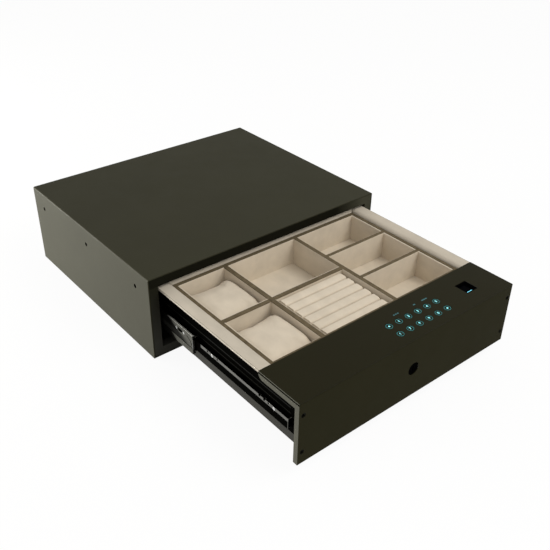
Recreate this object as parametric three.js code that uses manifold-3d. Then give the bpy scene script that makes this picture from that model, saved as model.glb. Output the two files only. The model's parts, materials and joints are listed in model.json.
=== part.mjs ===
// An under desk drawer safe: a folded steel case and a drawer on two ball bearing slides. The drawer's
// front is a console with a touch keypad, a fingerprint reader and a lock with an emergency key, and
// behind it lies a padded tray for watches, rings and jewellery. Millimetres, +Z up. The origin is the
// centre of the case's underside, and the drawer opens towards -Y. It is modelled open.
import * as THREE from "three";
import { mergeVertices } from "three/addons/utils/BufferGeometryUtils.js";
import Module from "manifold-3d";

const wasm = await Module();
wasm.setup();

// Clearances
const seat = 0.3; // between a piece and what carries it
const consoleGap = 1.2; // between the console and each side of the case's opening
const lowGap = 1.5; // between the console and the lower edge of the case's opening
const deckGap = 4.5; // between the console's deck and the upper edge of the case's opening
const rearGap = 9; // between the slides and the case's back
const runGap = 0.15; // between a ball and the groove that it runs in
const turnGap = 0.3; // round a turning piece
const backlash = 0.2; // taken off each gear tooth at the pitch line
const past = 1; // how far a cutting tool reaches past what it cuts
const sink = 0.5; // how far one joined solid reaches into the next

// Case
const caseWidth = 400;
const caseDepth = 335;
const caseHeight = 125;
const caseSheet = 1.5;
const foldRadius = 2;
const rimSide = 14.5;
const rimBottom = 14;
const rimTop = 14.5;
const rimLip = 12;
const sideHoleRadius = 2.2;
const sideHoleDrop = 25.5;
const sideHoleFirst = 34; // from the case's front
const sideHoleLast = 31; // from the case's back
const sideHoleCount = 3;

// Drawer slides. Widths run from the case's wall towards the drawer, and heights from the slide's middle.
const slideSetBack = 26;
const travelShort = 26;
const middleShare = 1 / 3;
const slideHeight = 53;
const slideInset = 17;
const slideWidth = 12.7;
const slideSheet = 1.2;
const bracketSheet = 1.5;
const bracketOverhang = 1.5;
const outerLip = 7.3;
const middleHalf = 14.5;
const middleWeb = 3;
const middleJog = 0.8;
const middleLipLong = 3.1;
const railHalf = 7.75;
const railWeb = 6.7;
const grooveDepth = 0.5;
const grooveShare = 0.95; // a groove's half width in ball radii
const largeBall = 1.7;
const smallBall = 1.25;
const smallTrackIn = 1.7; // from the outer lip's end to its ball track
const grooveLand = 0.12; // left on each side of the large balls' groove
const cageSheet = 0.5;
const smallCage = { front: 60, length: 120, balls: 6, web: 1.9 };
const largeCage = { front: 100, length: 90, balls: 5, web: 5.2 };
const railNotch = { length: 3.2, deep: 2.2, spots: [41, 50, 143, 262] };

// Drawer pan
const panSheet = 1.2;
const panRise = 10;
const panShort = 2;

// Console: a folded front with side returns, under a flat deck cover
const frontSheet = 1.5;
const deckCoverSheet = 1.5;
const coverGroove = { in: 1.2, high: 0.8 };
const deckDepth = 69.5;
const returnDeep = 7;
const returnHigh = 7.8;
const bayShort = 3.5; // from the rear plate's front face to the deck's rear end
const faceScrewInset = 6.5;
const faceScrewRise = 16.8;
const faceScrewDrop = 19.2;
const faceScrewHead = 2.4;
const faceScrewShank = 1.3;
const faceScrewLength = 7;
const headSides = 12;
const shankSides = 10;

// Keypad: two rows of round touch keys, in shallow dimples
const keyColumns = 6;
const keyPitch = 17;
const keyRowGap = 18.4;
const keyRadius = 5.65;
const keyDimple = 0.4;
const keypadLeft = 98.5; // from the reader to the keypad's middle
const backRowSet = 36.4;
const keypadMargin = 3;
const keypadMarginBack = 8;
const boardSheet = 1.6;
const keyboardDrop = 2;
const keyboardMargin = { side: 6, end: 3 };
const keyboardPost = { radius: 1.8, side: 3, front: 12, back: 8 };

// Fingerprint reader
const readerWidth = 21;
const readerDepth = 21.5;
const readerInset = 53.8;
const readerSet = 33.5;
const readerWall = 1.4;
const readerDrop = 13;
const readerRecess = 3.4;
const readerCollar = { wide: 3, high: 2 };
const sensorSheet = 1.7;
const lightStrip = { deep: 2.2, short: 2, proud: 0.6 };

// Lock: a bolt that drops behind the case's front frame, driven by the key or by a motor
const lockHeight = 58.5;
const keyHoleRadius = 9.1;
const plugRadius = 5;
const cylinderLength = 29;
const cylinderShort = 0.75;
const cylinderNut = { wide: 3.5, high: 4, sides: 6 };
const plugShort = 0.2;
const plugBeyond = 1;
const keySlot = { half: 0.9, tall: 3.6, deep: 16 };
const chassisSheet = 2;
const chassisHalf = 38;
const chassisFoot = 8;
const chassisRise = 1;
const chassisAbove = 6; // above the bolt
const guideBelow = 2;
const guideRise = 4;
const guideHook = 5;
const gearModule = 1.25;
const gearWidth = 5;
const gearPressure = (20 * Math.PI) / 180;
const gearTip = 0.9;
const gearRoot = 1.2;
const plugTeeth = 16;
const motorTeeth = 12;
const motorDropPitches = 5.5;
const motorRadius = 9;
const motorLength = 22;
const motorShaft = 2;
const motorShaftIn = 4.7;
const motorSocket = 6;
const motorBoss = { radius: 3.5, long: 2 };
const boltWidth = 14;
const boardGap = 10.6; // between the lock's bracket and the keypad's circuit board
const boltLowGap = 0.5;
const rackTip = 0.85;
const rackEnd = 1;
const strikeSheet = 2;
const strikeDrop = 2;
const strikeMargin = { x: 8, y: 6 };
const strikeFoot = 8;

// Electronics in the console
const cellRadius = 7.1;
const cellLength = 50;
const cellCount = 4;
const cellGap = 0.6;
const holderWall = 1.5;
const holderInset = 23.4; // from the drawer's side
const holderEar = 4;
const cellCap = { radius: 2.7, long: 1.5 };
const controlBoard = { width: 86, inset: 20.5, rise: 14, drop: 10.7 };
const controlPost = { radius: 2, inset: 4, long: 3 };
const processor = { x: 30, z: 20, wide: 14, high: 14, deep: 2.2 };
const relay = { x: 58, z: 8, wide: 18, high: 16, deep: 11 };
const socket = { x: 10, z: 12, wide: 10, high: 24, deep: 7 };
const buzzer = { x: 32, below: 4, wide: 26, high: 8, deep: 6 }; // below the board's upper edge

// Tray
const trayAfter = 1.8; // behind the deck
const trayDepth = 205.5;
const trayBelow = 5; // from the deck down to the tray's upper edge
const trayWall = 5.2;
const dividerWall = 6.5;
const crossWall = 5.6;
const trayWell = 41;
const trayBoard = 4;
const leftColumn = 72.8;
const middleColumn = 117.2;
const rightRows = 3;

// Soft pieces. The padded edge is a wrapped board that rolls down to the tray on its inner side.
const edgeWidth = 22.3;
const edgeSheet = 2.8;
const edgeRoll = 4.5;
const edgeRound = 1.2;
const edgeHang = 3; // below the tray's upper edge
const edgeShort = 0.3;
const pillowHeight = 30.5;
const pillowGap = 1.2;
const pillowPinch = 0.05;
const pillowFullness = { across: 10, along: 3.2 }; // a higher power gives a squarer side
const ridgeCount = 6;
const ridgeBelow = 5; // from the tray's upper edge down to the ridges
const ridgeDeep = 9;
const ridgeEndGap = 2.5;

// Worked out from the sizes above
const frontY = -caseDepth / 2;
const bayDepth = deckDepth - bayShort;
const trayFront = deckDepth + trayAfter;
const halfCase = caseWidth / 2;
const openingHalf = halfCase - rimSide;
const frontHalf = openingHalf - consoleGap;
const frontBottom = rimBottom + lowGap;
const deckTop = caseHeight - rimTop - deckGap;
const slideLength = caseDepth - slideSetBack - rearGap;
const drawerTravel = slideLength - travelShort;
const wallFace = halfCase - slideInset - slideWidth - seat;
const flangeEnd = frontHalf - frontSheet - seat;
const shellTop = deckTop - deckCoverSheet - seat;
const shellUnder = shellTop - frontSheet;
const faceScrewX = frontHalf - faceScrewInset;
const faceScrewZ = [frontBottom + faceScrewRise, deckTop - faceScrewDrop];
const readerCentre = frontHalf - readerInset;
const keypadCentre = readerCentre - keypadLeft;
const chassisFront = frontSheet + seat + cylinderLength + seat;
const gearFront = chassisFront + chassisSheet + 2 * turnGap;
const plugPitchRadius = (gearModule * plugTeeth) / 2;
const motorPitchRadius = (gearModule * motorTeeth) / 2;
const toothPitch = Math.PI * gearModule;
const motorX = plugPitchRadius - motorPitchRadius;
const motorZ = lockHeight - motorDropPitches * toothPitch;
const boltLeft = plugPitchRadius - rackTip;
const boltRight = plugPitchRadius + boltWidth;
const chassisTop = shellUnder - keyboardDrop - boardSheet - boardGap;
const boltTop = chassisTop - chassisAbove;
const panFloor = rimBottom + panRise;
const floorTop = panFloor + panSheet;
const panTop = deckTop - edgeSheet - seat;
const panTail = slideSetBack + slideLength - panShort;
const edgeTop = deckTop;
const edgeOuter = frontHalf - edgeShort;
const trayTop = deckTop - trayBelow;
const trayHalf = edgeOuter - edgeWidth - seat;
const trayBack = trayFront + trayDepth;
const edgeDrop = trayTop - edgeHang;
const edgeBack = trayBack + seat + edgeWidth;
const wallSet = edgeOuter - wallFace;
const wellFloor = trayTop - trayWell;
const innerDepth = trayDepth - 2 * trayWall;

const colours = {
  coat: new THREE.MeshStandardMaterial({ color: 0x35332c, roughness: 0.55, metalness: 0.3 }),
  bareSteel: new THREE.MeshStandardMaterial({ color: 0xa9abad, roughness: 0.35, metalness: 0.9 }),
  blackZinc: new THREE.MeshStandardMaterial({ color: 0x1c1c1b, roughness: 0.4, metalness: 0.7 }),
  deck: new THREE.MeshStandardMaterial({ color: 0x2c2b21, roughness: 0.45, metalness: 0 }),
  blackPlastic: new THREE.MeshStandardMaterial({ color: 0x121212, roughness: 0.5, metalness: 0 }),
  glass: new THREE.MeshStandardMaterial({ color: 0x0b0d12, roughness: 0.1, metalness: 0 }),
  cyan: new THREE.MeshStandardMaterial({ color: 0x6fe0ea, roughness: 0.4, metalness: 0 }),
  board: new THREE.MeshStandardMaterial({ color: 0x1e5a3a, roughness: 0.6, metalness: 0 }),
  brass: new THREE.MeshStandardMaterial({ color: 0xb59a55, roughness: 0.35, metalness: 0.9 }),
  cell: new THREE.MeshStandardMaterial({ color: 0x50565c, roughness: 0.4, metalness: 0.4 }),
  velvet: new THREE.MeshStandardMaterial({ color: 0xcdc1ac, roughness: 0.95, metalness: 0 }),
  trim: new THREE.MeshStandardMaterial({ color: 0x706454, roughness: 0.8, metalness: 0 }),
};

// A closed geometry as a solid for joining and cutting.
function toSolid(geometry) {
  const bare = new THREE.BufferGeometry();
  bare.setAttribute("position", geometry.getAttribute("position").clone());
  if (geometry.index) bare.setIndex(geometry.index.clone());
  const merged = mergeVertices(bare, 1e-4);
  return new wasm.Manifold(
    new wasm.Mesh({
      numProp: 3,
      vertProperties: new Float32Array(merged.attributes.position.array),
      triVerts: new Uint32Array(merged.index.array),
    }),
  );
}

function toGeometry(solid) {
  const mesh = solid.getMesh();
  const geometry = new THREE.BufferGeometry();
  geometry.setAttribute("position", new THREE.BufferAttribute(new Float32Array(mesh.vertProperties), 3));
  geometry.setIndex(new THREE.BufferAttribute(new Uint32Array(mesh.triVerts), 1));
  geometry.computeVertexNormals();
  return geometry;
}

const join = (solids) => solids.reduce((all, one) => all.add(one));
const cut = (solid, tools) => tools.reduce((left, tool) => left.subtract(tool), solid);

// Adds a named piece to a group.
function piece(group, name, solid, material) {
  const mesh = new THREE.Mesh(toGeometry(solid), material);
  mesh.name = name;
  group.add(mesh);
  return mesh;
}

// A box from its lowest to its highest value along each axis.
function block([x0, x1], [y0, y1], [z0, z1]) {
  const box = new THREE.BoxGeometry(x1 - x0, y1 - y0, z1 - z0);
  return toSolid(box.translate((x0 + x1) / 2, (y0 + y1) / 2, (z0 + z1) / 2));
}

const along = {
  X: new THREE.Matrix4().set(0, 0, 1, 0, 1, 0, 0, 0, 0, 1, 0, 0, 0, 0, 0, 1),
  Y: new THREE.Matrix4().set(1, 0, 0, 0, 0, 0, -1, 0, 0, 1, 0, 0, 0, 0, 0, 1),
  Z: new THREE.Matrix4(),
};

// An outline extruded along X, Y or Z. The outline's axes are the two others in the order X, Y, Z.
function extrude(axis, outline, from, to) {
  const asShape = () => new THREE.Shape(outline.map((p) => new THREE.Vector2(...p)));
  const shape = outline instanceof THREE.Shape ? outline : asShape();
  const options = { depth: to - from, bevelEnabled: false, curveSegments: 6 };
  const geometry = new THREE.ExtrudeGeometry(shape, options);
  geometry.applyMatrix4(along[axis]);
  if (axis === "X") geometry.translate(from, 0, 0);
  if (axis === "Y") geometry.translate(0, to, 0);
  if (axis === "Z") geometry.translate(0, 0, from);
  return toSolid(geometry);
}

// A round bar along X, Y or Z. Its middle is given along the two other axes in the order X, Y, Z.
function bar(axis, [a, b], radius, from, to, sides = 24) {
  const outline = [];
  for (let i = 0; i < sides; i += 1) {
    const turn = (2 * Math.PI * i) / sides;
    outline.push([a + radius * Math.cos(turn), b + radius * Math.sin(turn)]);
  }
  return extrude(axis, outline, from, to);
}

const safe = new THREE.Group();
const drawer = new THREE.Group();
drawer.position.y = frontY - drawerTravel;
safe.add(drawer);

// Case

// The sheet that makes the top and both sides, folded at the two long upper edges.
function caseWrap() {
  const half = halfCase;
  const outline = new THREE.Shape();
  outline.moveTo(-half, 0);
  outline.lineTo(-half + caseSheet, 0);
  outline.lineTo(-half + caseSheet, caseHeight - caseSheet);
  outline.lineTo(half - caseSheet, caseHeight - caseSheet);
  outline.lineTo(half - caseSheet, 0);
  outline.lineTo(half, 0);
  outline.lineTo(half, caseHeight - foldRadius);
  outline.absarc(half - foldRadius, caseHeight - foldRadius, foldRadius, 0, Math.PI / 2);
  outline.absarc(-half + foldRadius, caseHeight - foldRadius, foldRadius, Math.PI / 2, Math.PI);
  outline.closePath();
  const holes = [];
  const pitch = (caseDepth - sideHoleFirst - sideHoleLast) / (sideHoleCount - 1);
  for (let i = 0; i < sideHoleCount; i += 1) {
    const spot = [frontY + sideHoleFirst + i * pitch, caseHeight - sideHoleDrop];
    holes.push(bar("X", spot, sideHoleRadius, -half - past, half + past, headSides));
  }
  return cut(extrude("Y", outline, frontY, frontY + caseDepth), holes);
}

const caseInside = halfCase - caseSheet - seat;
const insideZ = [caseSheet + seat, caseHeight - caseSheet - seat];

function frontFrame() {
  const [bottom, top] = [rimBottom, caseHeight - rimTop];
  const face = block([-caseInside, caseInside], [frontY, frontY + caseSheet], insideZ);
  const lipOuter = block(
    [-openingHalf - caseSheet, openingHalf + caseSheet],
    [frontY, frontY + rimLip],
    [bottom - caseSheet, top + caseSheet],
  );
  const hole = block([-openingHalf, openingHalf], [frontY - past, frontY + rimLip + past], [bottom, top]);
  return cut(join([face, lipOuter]), [hole]);
}

const caseBack = frontY + caseDepth;
const basePlate = block([-caseInside, caseInside], [frontY, caseBack], [0, caseSheet]);
const backPlate = block([-caseInside, caseInside], [caseBack - caseSheet, caseBack], insideZ);
piece(safe, "case_wrap", caseWrap(), colours.coat);
piece(safe, "front_frame", frontFrame(), colours.coat);
piece(safe, "base_plate", basePlate, colours.coat);
piece(safe, "back_plate", backPlate, colours.coat);

// Slides

// A profile given for its upper half, closed by its mirror image below.
function mirrored(upper) {
  const lower = upper.map(([u, v]) => [u, -v]).reverse();
  return [...upper, ...lower];
}

// The points of a ball groove in a face at height v, going from one side to the other.
function groove(track, v, depth, wide, direction) {
  const narrow = wide / 2;
  const points = [
    [track - wide, v],
    [track - narrow, v + depth],
    [track + narrow, v + depth],
    [track + wide, v],
  ];
  return direction > 0 ? points : points.reverse();
}

// Each ball line lies between two grooves, so the outer channels are sized from the inner ones, and the
// tracks are set from the ends of the lips that carry them.
const smallTrack = outerLip - smallTrackIn;
const stepEnd = outerLip + middleJog;
const middleLip = stepEnd + middleLipLong;
const largeTrack = stepEnd + middleLipLong / 2;
const smallGroove = smallBall * grooveShare;
const largeGroove = middleLipLong / 2 - grooveLand;
const railGroove = largeBall * grooveShare;
const smallBallLine = middleHalf - grooveDepth + runGap + smallBall;
const largeBallLine = railHalf - grooveDepth + runGap + largeBall;
const outerFace = smallBallLine + smallBall + runGap - grooveDepth;
const outerHalf = outerFace + slideSheet;
const stepInner = largeBallLine + largeBall + runGap - grooveDepth;
const stepOuter = stepInner + slideSheet;

const outerProfile = mirrored([
  [slideSheet, outerFace],
  ...groove(smallTrack, outerFace, grooveDepth, smallGroove, 1),
  [outerLip, outerFace],
  [outerLip, outerHalf],
  [0, outerHalf],
]);
const middleProfile = mirrored([
  [middleWeb + slideSheet, middleHalf - slideSheet],
  [outerLip - grooveDepth, middleHalf - slideSheet],
  [stepEnd - grooveDepth, stepInner],
  ...groove(largeTrack, stepInner, grooveDepth, largeGroove, 1),
  [middleLip, stepInner],
  [middleLip, stepOuter],
  [stepEnd, stepOuter],
  [outerLip, middleHalf],
  ...groove(smallTrack, middleHalf, -grooveDepth, smallGroove, -1),
  [middleWeb, middleHalf],
]);
const railProfile = mirrored([
  [railWeb + slideSheet, railHalf - slideSheet],
  [slideWidth, railHalf - slideSheet],
  [slideWidth, railHalf],
  ...groove(largeTrack, railHalf, -grooveDepth, railGroove, -1),
  [railWeb, railHalf],
]);

// Turns a slide profile into a solid on one side of the case: side is -1 for left and 1 for right.
function slideMember(side, profile, from, to) {
  const edge = halfCase - slideInset;
  const outline = profile.map(([u, v]) => [side * (edge - u), slideHeight + v]);
  const turned = signedArea(outline) < 0 ? outline.reverse() : outline;
  return extrude("Y", turned, from, to);
}

function signedArea(points) {
  return points.reduce((sum, [x, y], i) => {
    const [nx, ny] = points[(i + 1) % points.length];
    return sum + (x * ny - nx * y) / 2;
  }, 0);
}

// A folded strip that keeps two rows of balls apart, with its balls.
function ballCage(side, cage, radius, track, ballLine, armEnd) {
  const half = cageSheet / 2;
  const strip = mirrored([
    [cage.web + cageSheet, ballLine - half],
    [armEnd, ballLine - half],
    [armEnd, ballLine + half],
    [cage.web, ballLine + half],
  ]);
  const parts = [slideMember(side, strip, cage.front, cage.front + cage.length)];
  const step = cage.length / cage.balls;
  for (let i = 0; i < cage.balls; i += 1) {
    for (const row of [-1, 1]) {
      const ball = new THREE.SphereGeometry(radius, 6, 4);
      const x = side * (halfCase - slideInset - track);
      ball.translate(x, cage.front + (i + 0.5) * step, slideHeight + row * ballLine);
      parts.push(toSolid(ball));
    }
  }
  return join(parts);
}

// Small notches in the upper outer corner of the drawer's rail.
function railNotches(side) {
  const x = side * (halfCase - slideInset - railWeb);
  return railNotch.spots.map((spot) =>
    block(
      [x - railNotch.deep, x + railNotch.deep],
      [spot, spot + railNotch.length],
      [slideHeight + railHalf - railNotch.deep, slideHeight + railHalf + past],
    ),
  );
}

const middleOut = drawerTravel * middleShare;

for (const side of [-1, 1]) {
  const name = side < 0 ? "left" : "right";
  const slideRun = [0, slideLength];

  const fixed = new THREE.Group();
  fixed.position.y = frontY + slideSetBack;
  const bracketFace = halfCase - slideInset + seat;
  const bracketHalf = outerHalf + bracketOverhang;
  const wallSide = caseInside;
  const bracketOutline = [
    [side * bracketFace, slideHeight - bracketHalf],
    [side * wallSide, slideHeight - bracketHalf],
    [side * wallSide, slideHeight - bracketHalf + bracketSheet],
    [side * (bracketFace + bracketSheet), slideHeight - bracketHalf + bracketSheet],
    [side * (bracketFace + bracketSheet), slideHeight + bracketHalf - bracketSheet],
    [side * wallSide, slideHeight + bracketHalf - bracketSheet],
    [side * wallSide, slideHeight + bracketHalf],
    [side * bracketFace, slideHeight + bracketHalf],
  ];
  const bracketTurned = signedArea(bracketOutline) < 0 ? bracketOutline.reverse() : bracketOutline;
  piece(fixed, `${name}_slide_bracket`, extrude("Y", bracketTurned, ...slideRun), colours.coat);
  piece(fixed, `${name}_outer_member`, slideMember(side, outerProfile, ...slideRun), colours.blackZinc);
  safe.add(fixed);

  const middle = new THREE.Group();
  middle.position.y = frontY + slideSetBack - middleOut;
  piece(middle, `${name}_middle_member`, slideMember(side, middleProfile, ...slideRun), colours.blackZinc);
  safe.add(middle);

  const smallCages = new THREE.Group();
  smallCages.position.y = frontY + slideSetBack - middleOut / 2;
  const smallArm = outerLip - cageSheet / 4;
  const small = ballCage(side, smallCage, smallBall, smallTrack, smallBallLine, smallArm);
  piece(smallCages, `${name}_outer_ball_cage`, small, colours.bareSteel);
  safe.add(smallCages);

  const largeCages = new THREE.Group();
  largeCages.position.y = frontY + slideSetBack - (middleOut + drawerTravel) / 2;
  const large = ballCage(side, largeCage, largeBall, largeTrack, largeBallLine, middleLip);
  piece(largeCages, `${name}_inner_ball_cage`, large, colours.bareSteel);
  safe.add(largeCages);

  const rail = new THREE.Group();
  rail.position.y = slideSetBack;
  const drawerRail = cut(slideMember(side, railProfile, ...slideRun), railNotches(side));
  piece(rail, `${name}_drawer_rail`, drawerRail, colours.bareSteel);
  drawer.add(rail);
}

// Drawer. From here on y counts from the console's front face, towards the back.

const panFront = frontSheet + seat;

const boltSlot = {
  x: [boltLeft - 2 * turnGap, boltRight + 2 * turnGap],
  y: [gearFront - 2 * turnGap, gearFront + gearWidth + 2 * turnGap],
};

const panInside = wallFace - panSheet - seat;
const holderDeep = cellLength + 2 * cellGap;
const holderWide = cellCount * 2 * cellRadius + (cellCount + 1) * cellGap;
const holderLeft = holderInset - panInside;
const holderFront = (panFront + panSheet + bayDepth - holderDeep) / 2;
const hatch = {
  x: [holderLeft + holderWall, holderLeft + holderWall + holderWide],
  y: [holderFront, holderFront + holderDeep],
};
const grow = ([a, b], by) => [a - by, b + by];

// The floor and both sides, folded from one sheet, with flanges that turn out at the top and the front.
function drawerPan() {
  const parts = [block([-wallFace, wallFace], [panFront, panTail], [panFloor, floorTop])];
  for (const side of [-1, 1]) {
    const span = (a, b) => (side < 0 ? [-b, -a] : [a, b]);
    const wall = span(wallFace - panSheet, wallFace);
    const flange = span(wallFace - panSheet, flangeEnd);
    parts.push(block(wall, [panFront, panTail], [panFloor, shellUnder - seat]));
    parts.push(block(wall, [deckDepth + seat, panTail], [panFloor, panTop]));
    parts.push(block(flange, [deckDepth + seat, edgeBack - edgeRound], [panTop - panSheet, panTop]));
    parts.push(block(flange, [panFront, panFront + panSheet], [panFloor, shellUnder - seat]));
  }
  const holes = [
    block(boltSlot.x, boltSlot.y, [panFloor - past, floorTop + past]),
    block(grow(hatch.x, seat), grow(hatch.y, seat), [panFloor - past, floorTop + past]),
  ];
  for (const side of [-1, 1]) {
    for (const z of faceScrewZ) {
      const spot = [side * faceScrewX, z];
      holes.push(bar("Y", spot, faceScrewShank + seat, 0, panFront + panSheet + past, shankSides));
    }
  }
  return cut(join(parts), holes);
}

// The plate behind the tray, with a flange that carries the rear padded edge.
function drawerBack() {
  const outer = edgeBack - wallSet;
  return join([
    block([-panInside, panInside], [outer - panSheet, outer], [floorTop + seat, panTop]),
    block([-panInside, panInside], [outer - panSheet, edgeBack - edgeRound], [panTop - panSheet, panTop]),
  ]);
}

piece(drawer, "drawer_pan", drawerPan(), colours.coat);
piece(drawer, "drawer_back", drawerBack(), colours.coat);

// Console

const readerX = [readerCentre - readerWidth / 2, readerCentre + readerWidth / 2];
const readerY = [readerSet - readerDepth / 2, readerSet + readerDepth / 2];
const keypadHalf = ((keyColumns - 1) * keyPitch) / 2 + keyRadius + keypadMargin;
const keypadX = [keypadCentre - keypadHalf, keypadCentre + keypadHalf];
const keypadFront = backRowSet - keyRowGap - keyRadius - keypadMargin;
const keypadY = [keypadFront, backRowSet + keyRadius + keypadMarginBack];

function sideReturn(side) {
  const [x0, x1] = side < 0 ? [-frontHalf, -frontHalf + frontSheet] : [frontHalf - frontSheet, frontHalf];
  const top = shellTop - coverGroove.high;
  const outline = new THREE.Shape();
  outline.moveTo(0, frontBottom);
  outline.lineTo(returnDeep, frontBottom);
  outline.lineTo(returnDeep, top - returnHigh);
  outline.lineTo(deckDepth - returnHigh, top - returnHigh);
  outline.absarc(deckDepth - returnHigh, top, returnHigh, -Math.PI / 2, 0);
  outline.lineTo(0, top);
  outline.closePath();
  return extrude("X", outline, x0, x1);
}

function frontShell() {
  const wide = [-frontHalf, frontHalf];
  const parts = [
    block(wide, [0, frontSheet], [frontBottom, shellTop]),
    block(grow(wide, -coverGroove.in), [0, deckDepth], [shellUnder, shellTop]),
    block(wide, [0, returnDeep], [frontBottom, frontBottom + frontSheet]),
    sideReturn(-1),
    sideReturn(1),
  ];
  const through = [shellUnder - past, shellTop + past];
  const holes = [
    block(keypadX, keypadY, through),
    block(readerX, readerY, through),
    bar("Y", [0, lockHeight], keyHoleRadius, -past, frontSheet + past, 32),
  ];
  for (const side of [-1, 1]) {
    for (const z of faceScrewZ) {
      const spot = [side * faceScrewX, z];
      holes.push(bar("Y", spot, faceScrewHead + turnGap, -past, frontSheet + past, headSides));
    }
  }
  return cut(join(parts), holes);
}

function deckCover() {
  const plate = block([-frontHalf, frontHalf], [0, deckDepth], [deckTop - deckCoverSheet, deckTop]);
  const tools = [block(readerX, readerY, [shellTop - past, deckTop + past])];
  for (let row = 0; row < 2; row += 1) {
    for (let column = 0; column < keyColumns; column += 1) {
      const x = keypadCentre + (column - (keyColumns - 1) / 2) * keyPitch;
      const y = backRowSet - row * keyRowGap;
      tools.push(bar("Z", [x, y], keyRadius, deckTop - keyDimple, deckTop + past, 18));
    }
  }
  return cut(plate, tools);
}

piece(drawer, "front_shell", frontShell(), colours.coat);
piece(drawer, "deck_cover", deckCover(), colours.deck);
piece(
  drawer,
  "console_rear_plate",
  block([-panInside, panInside], [bayDepth, bayDepth + panSheet], [floorTop + seat, shellUnder - seat]),
  colours.coat,
);

for (const side of [-1, 1]) {
  faceScrewZ.forEach((z, i) => {
    const spot = [side * faceScrewX, z];
    const headBack = frontSheet - turnGap;
    const head = bar("Y", spot, faceScrewHead, 0, headBack, headSides);
    const shank = bar("Y", spot, faceScrewShank, headBack - sink, faceScrewLength, shankSides);
    const name = `${side < 0 ? "left" : "right"}_${i ? "upper" : "lower"}_face_screw`;
    piece(drawer, name, join([head, shank]), colours.blackZinc);
  });
}

// The circuit board under the keys, hung from the console's deck on four posts.
function keypadBoard() {
  const under = shellUnder;
  const [x, y] = [grow(keypadX, keyboardMargin.side), grow(keypadY, keyboardMargin.end)];
  const post = keyboardPost;
  const top = under - keyboardDrop;
  const parts = [block(x, y, [top - boardSheet, top])];
  for (const px of grow(x, -post.side)) {
    for (const py of [y[0] + post.front, y[1] - post.back]) {
      parts.push(bar("Z", [px, py], post.radius, top - sink, under - seat, shankSides));
    }
  }
  return join(parts);
}

piece(drawer, "keypad_board", keypadBoard(), colours.board);

const sensorTop = deckTop - readerRecess;
const sensorLow = sensorTop - sensorSheet;

// The reader's black frame is a box with a floor, hung in the deck's square hole by a collar below it.
function readerFrame() {
  const [x, y] = [grow(readerX, -seat), grow(readerY, -seat)];
  const low = deckTop - readerDrop;
  const under = shellUnder - seat;
  const outer = join([
    block(x, y, [low, deckTop - seat]),
    block(grow(x, readerCollar.wide), grow(y, readerCollar.wide), [under - readerCollar.high, under]),
  ]);
  const well = block(grow(x, -readerWall), grow(y, -readerWall), [sensorLow - seat, deckTop]);
  return cut(outer, [well]);
}

piece(drawer, "fingerprint_frame", readerFrame(), colours.blackPlastic);
const wellX = grow(readerX, -seat - readerWall - seat);
const wellY = grow(readerY, -seat - readerWall - seat);
const sensorFront = wellY[0] + lightStrip.deep + seat;
const sensor = block(wellX, [sensorFront, wellY[1]], [sensorLow, sensorTop]);
const light = block(
  grow(wellX, -lightStrip.short),
  [wellY[0], wellY[0] + lightStrip.deep],
  [sensorLow, sensorTop + lightStrip.proud],
);
piece(drawer, "fingerprint_sensor", sensor, colours.glass);
piece(drawer, "fingerprint_light", light, colours.cyan);

// Lock

// A gear outline with involute flanks. A tooth points at the angle phase.
function gearOutline(teeth, phase) {
  const pitchRadius = (gearModule * teeth) / 2;
  const base = pitchRadius * Math.cos(gearPressure);
  const tip = pitchRadius + gearModule * gearTip;
  const root = pitchRadius - gearModule * gearRoot;
  const involute = (angle) => Math.tan(angle) - angle;
  const halfAt = (radius) => {
    const angle = Math.acos(Math.min(1, base / Math.max(radius, base)));
    return Math.PI / (2 * teeth) - backlash / (2 * pitchRadius) + involute(gearPressure) - involute(angle);
  };
  const radii = [root, base, (base + tip) / 2, tip];
  const points = [];
  for (let i = 0; i < teeth; i += 1) {
    const middle = phase + (2 * Math.PI * i) / teeth;
    for (const radius of radii) {
      const turn = middle - halfAt(radius);
      points.push([radius * Math.cos(turn), radius * Math.sin(turn)]);
    }
    for (const radius of [...radii].reverse()) {
      const turn = middle + halfAt(radius);
      points.push([radius * Math.cos(turn), radius * Math.sin(turn)]);
    }
  }
  return points;
}

function gear(teeth, phase, [x, z]) {
  const outline = gearOutline(teeth, phase).map(([a, b]) => [x + a, z + b]);
  return extrude("Y", outline, gearFront, gearFront + gearWidth);
}

// The lock bolt is a flat bar with a rack along its left edge, which meshes with both pinions.
function lockBolt() {
  const [low, high] = [panFloor + boltLowGap, boltTop];
  const slope = Math.tan(gearPressure);
  const pitchX = plugPitchRadius;
  const rootX = pitchX + gearModule * gearRoot;
  const tipX = pitchX - rackTip;
  const half = toothPitch / 4 - backlash / 2;
  const points = [
    [rootX, low],
    [boltRight, low],
    [boltRight, high],
    [rootX, high],
  ];
  const first = Math.floor((high - half - rackEnd - lockHeight) / toothPitch - 0.5);
  const last = Math.ceil((low + half + rackEnd - lockHeight) / toothPitch - 0.5);
  for (let i = first; i >= last; i -= 1) {
    const z = lockHeight + (i + 0.5) * toothPitch;
    const wide = half + (rootX - pitchX) * slope;
    const narrow = half - rackTip * slope;
    points.push([rootX, z + wide], [tipX, z + narrow], [tipX, z - narrow], [rootX, z - wide]);
  }
  return extrude("Y", points, gearFront, gearFront + gearWidth);
}

const cylinderFront = frontSheet + seat;
const cylinderBack = cylinderFront + cylinderLength;

function keyCylinder() {
  const nutRadius = keyHoleRadius + cylinderNut.wide;
  const nutBack = cylinderFront + cylinderNut.high;
  const barrel = bar("Y", [0, lockHeight], keyHoleRadius - seat, cylinderShort, cylinderBack, 28);
  const nut = bar("Y", [0, lockHeight], nutRadius, cylinderFront, nutBack, cylinderNut.sides);
  const bore = bar("Y", [0, lockHeight], plugRadius + turnGap, cylinderShort - past, cylinderBack + past);
  return cut(join([barrel, nut]), [bore]);
}

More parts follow.
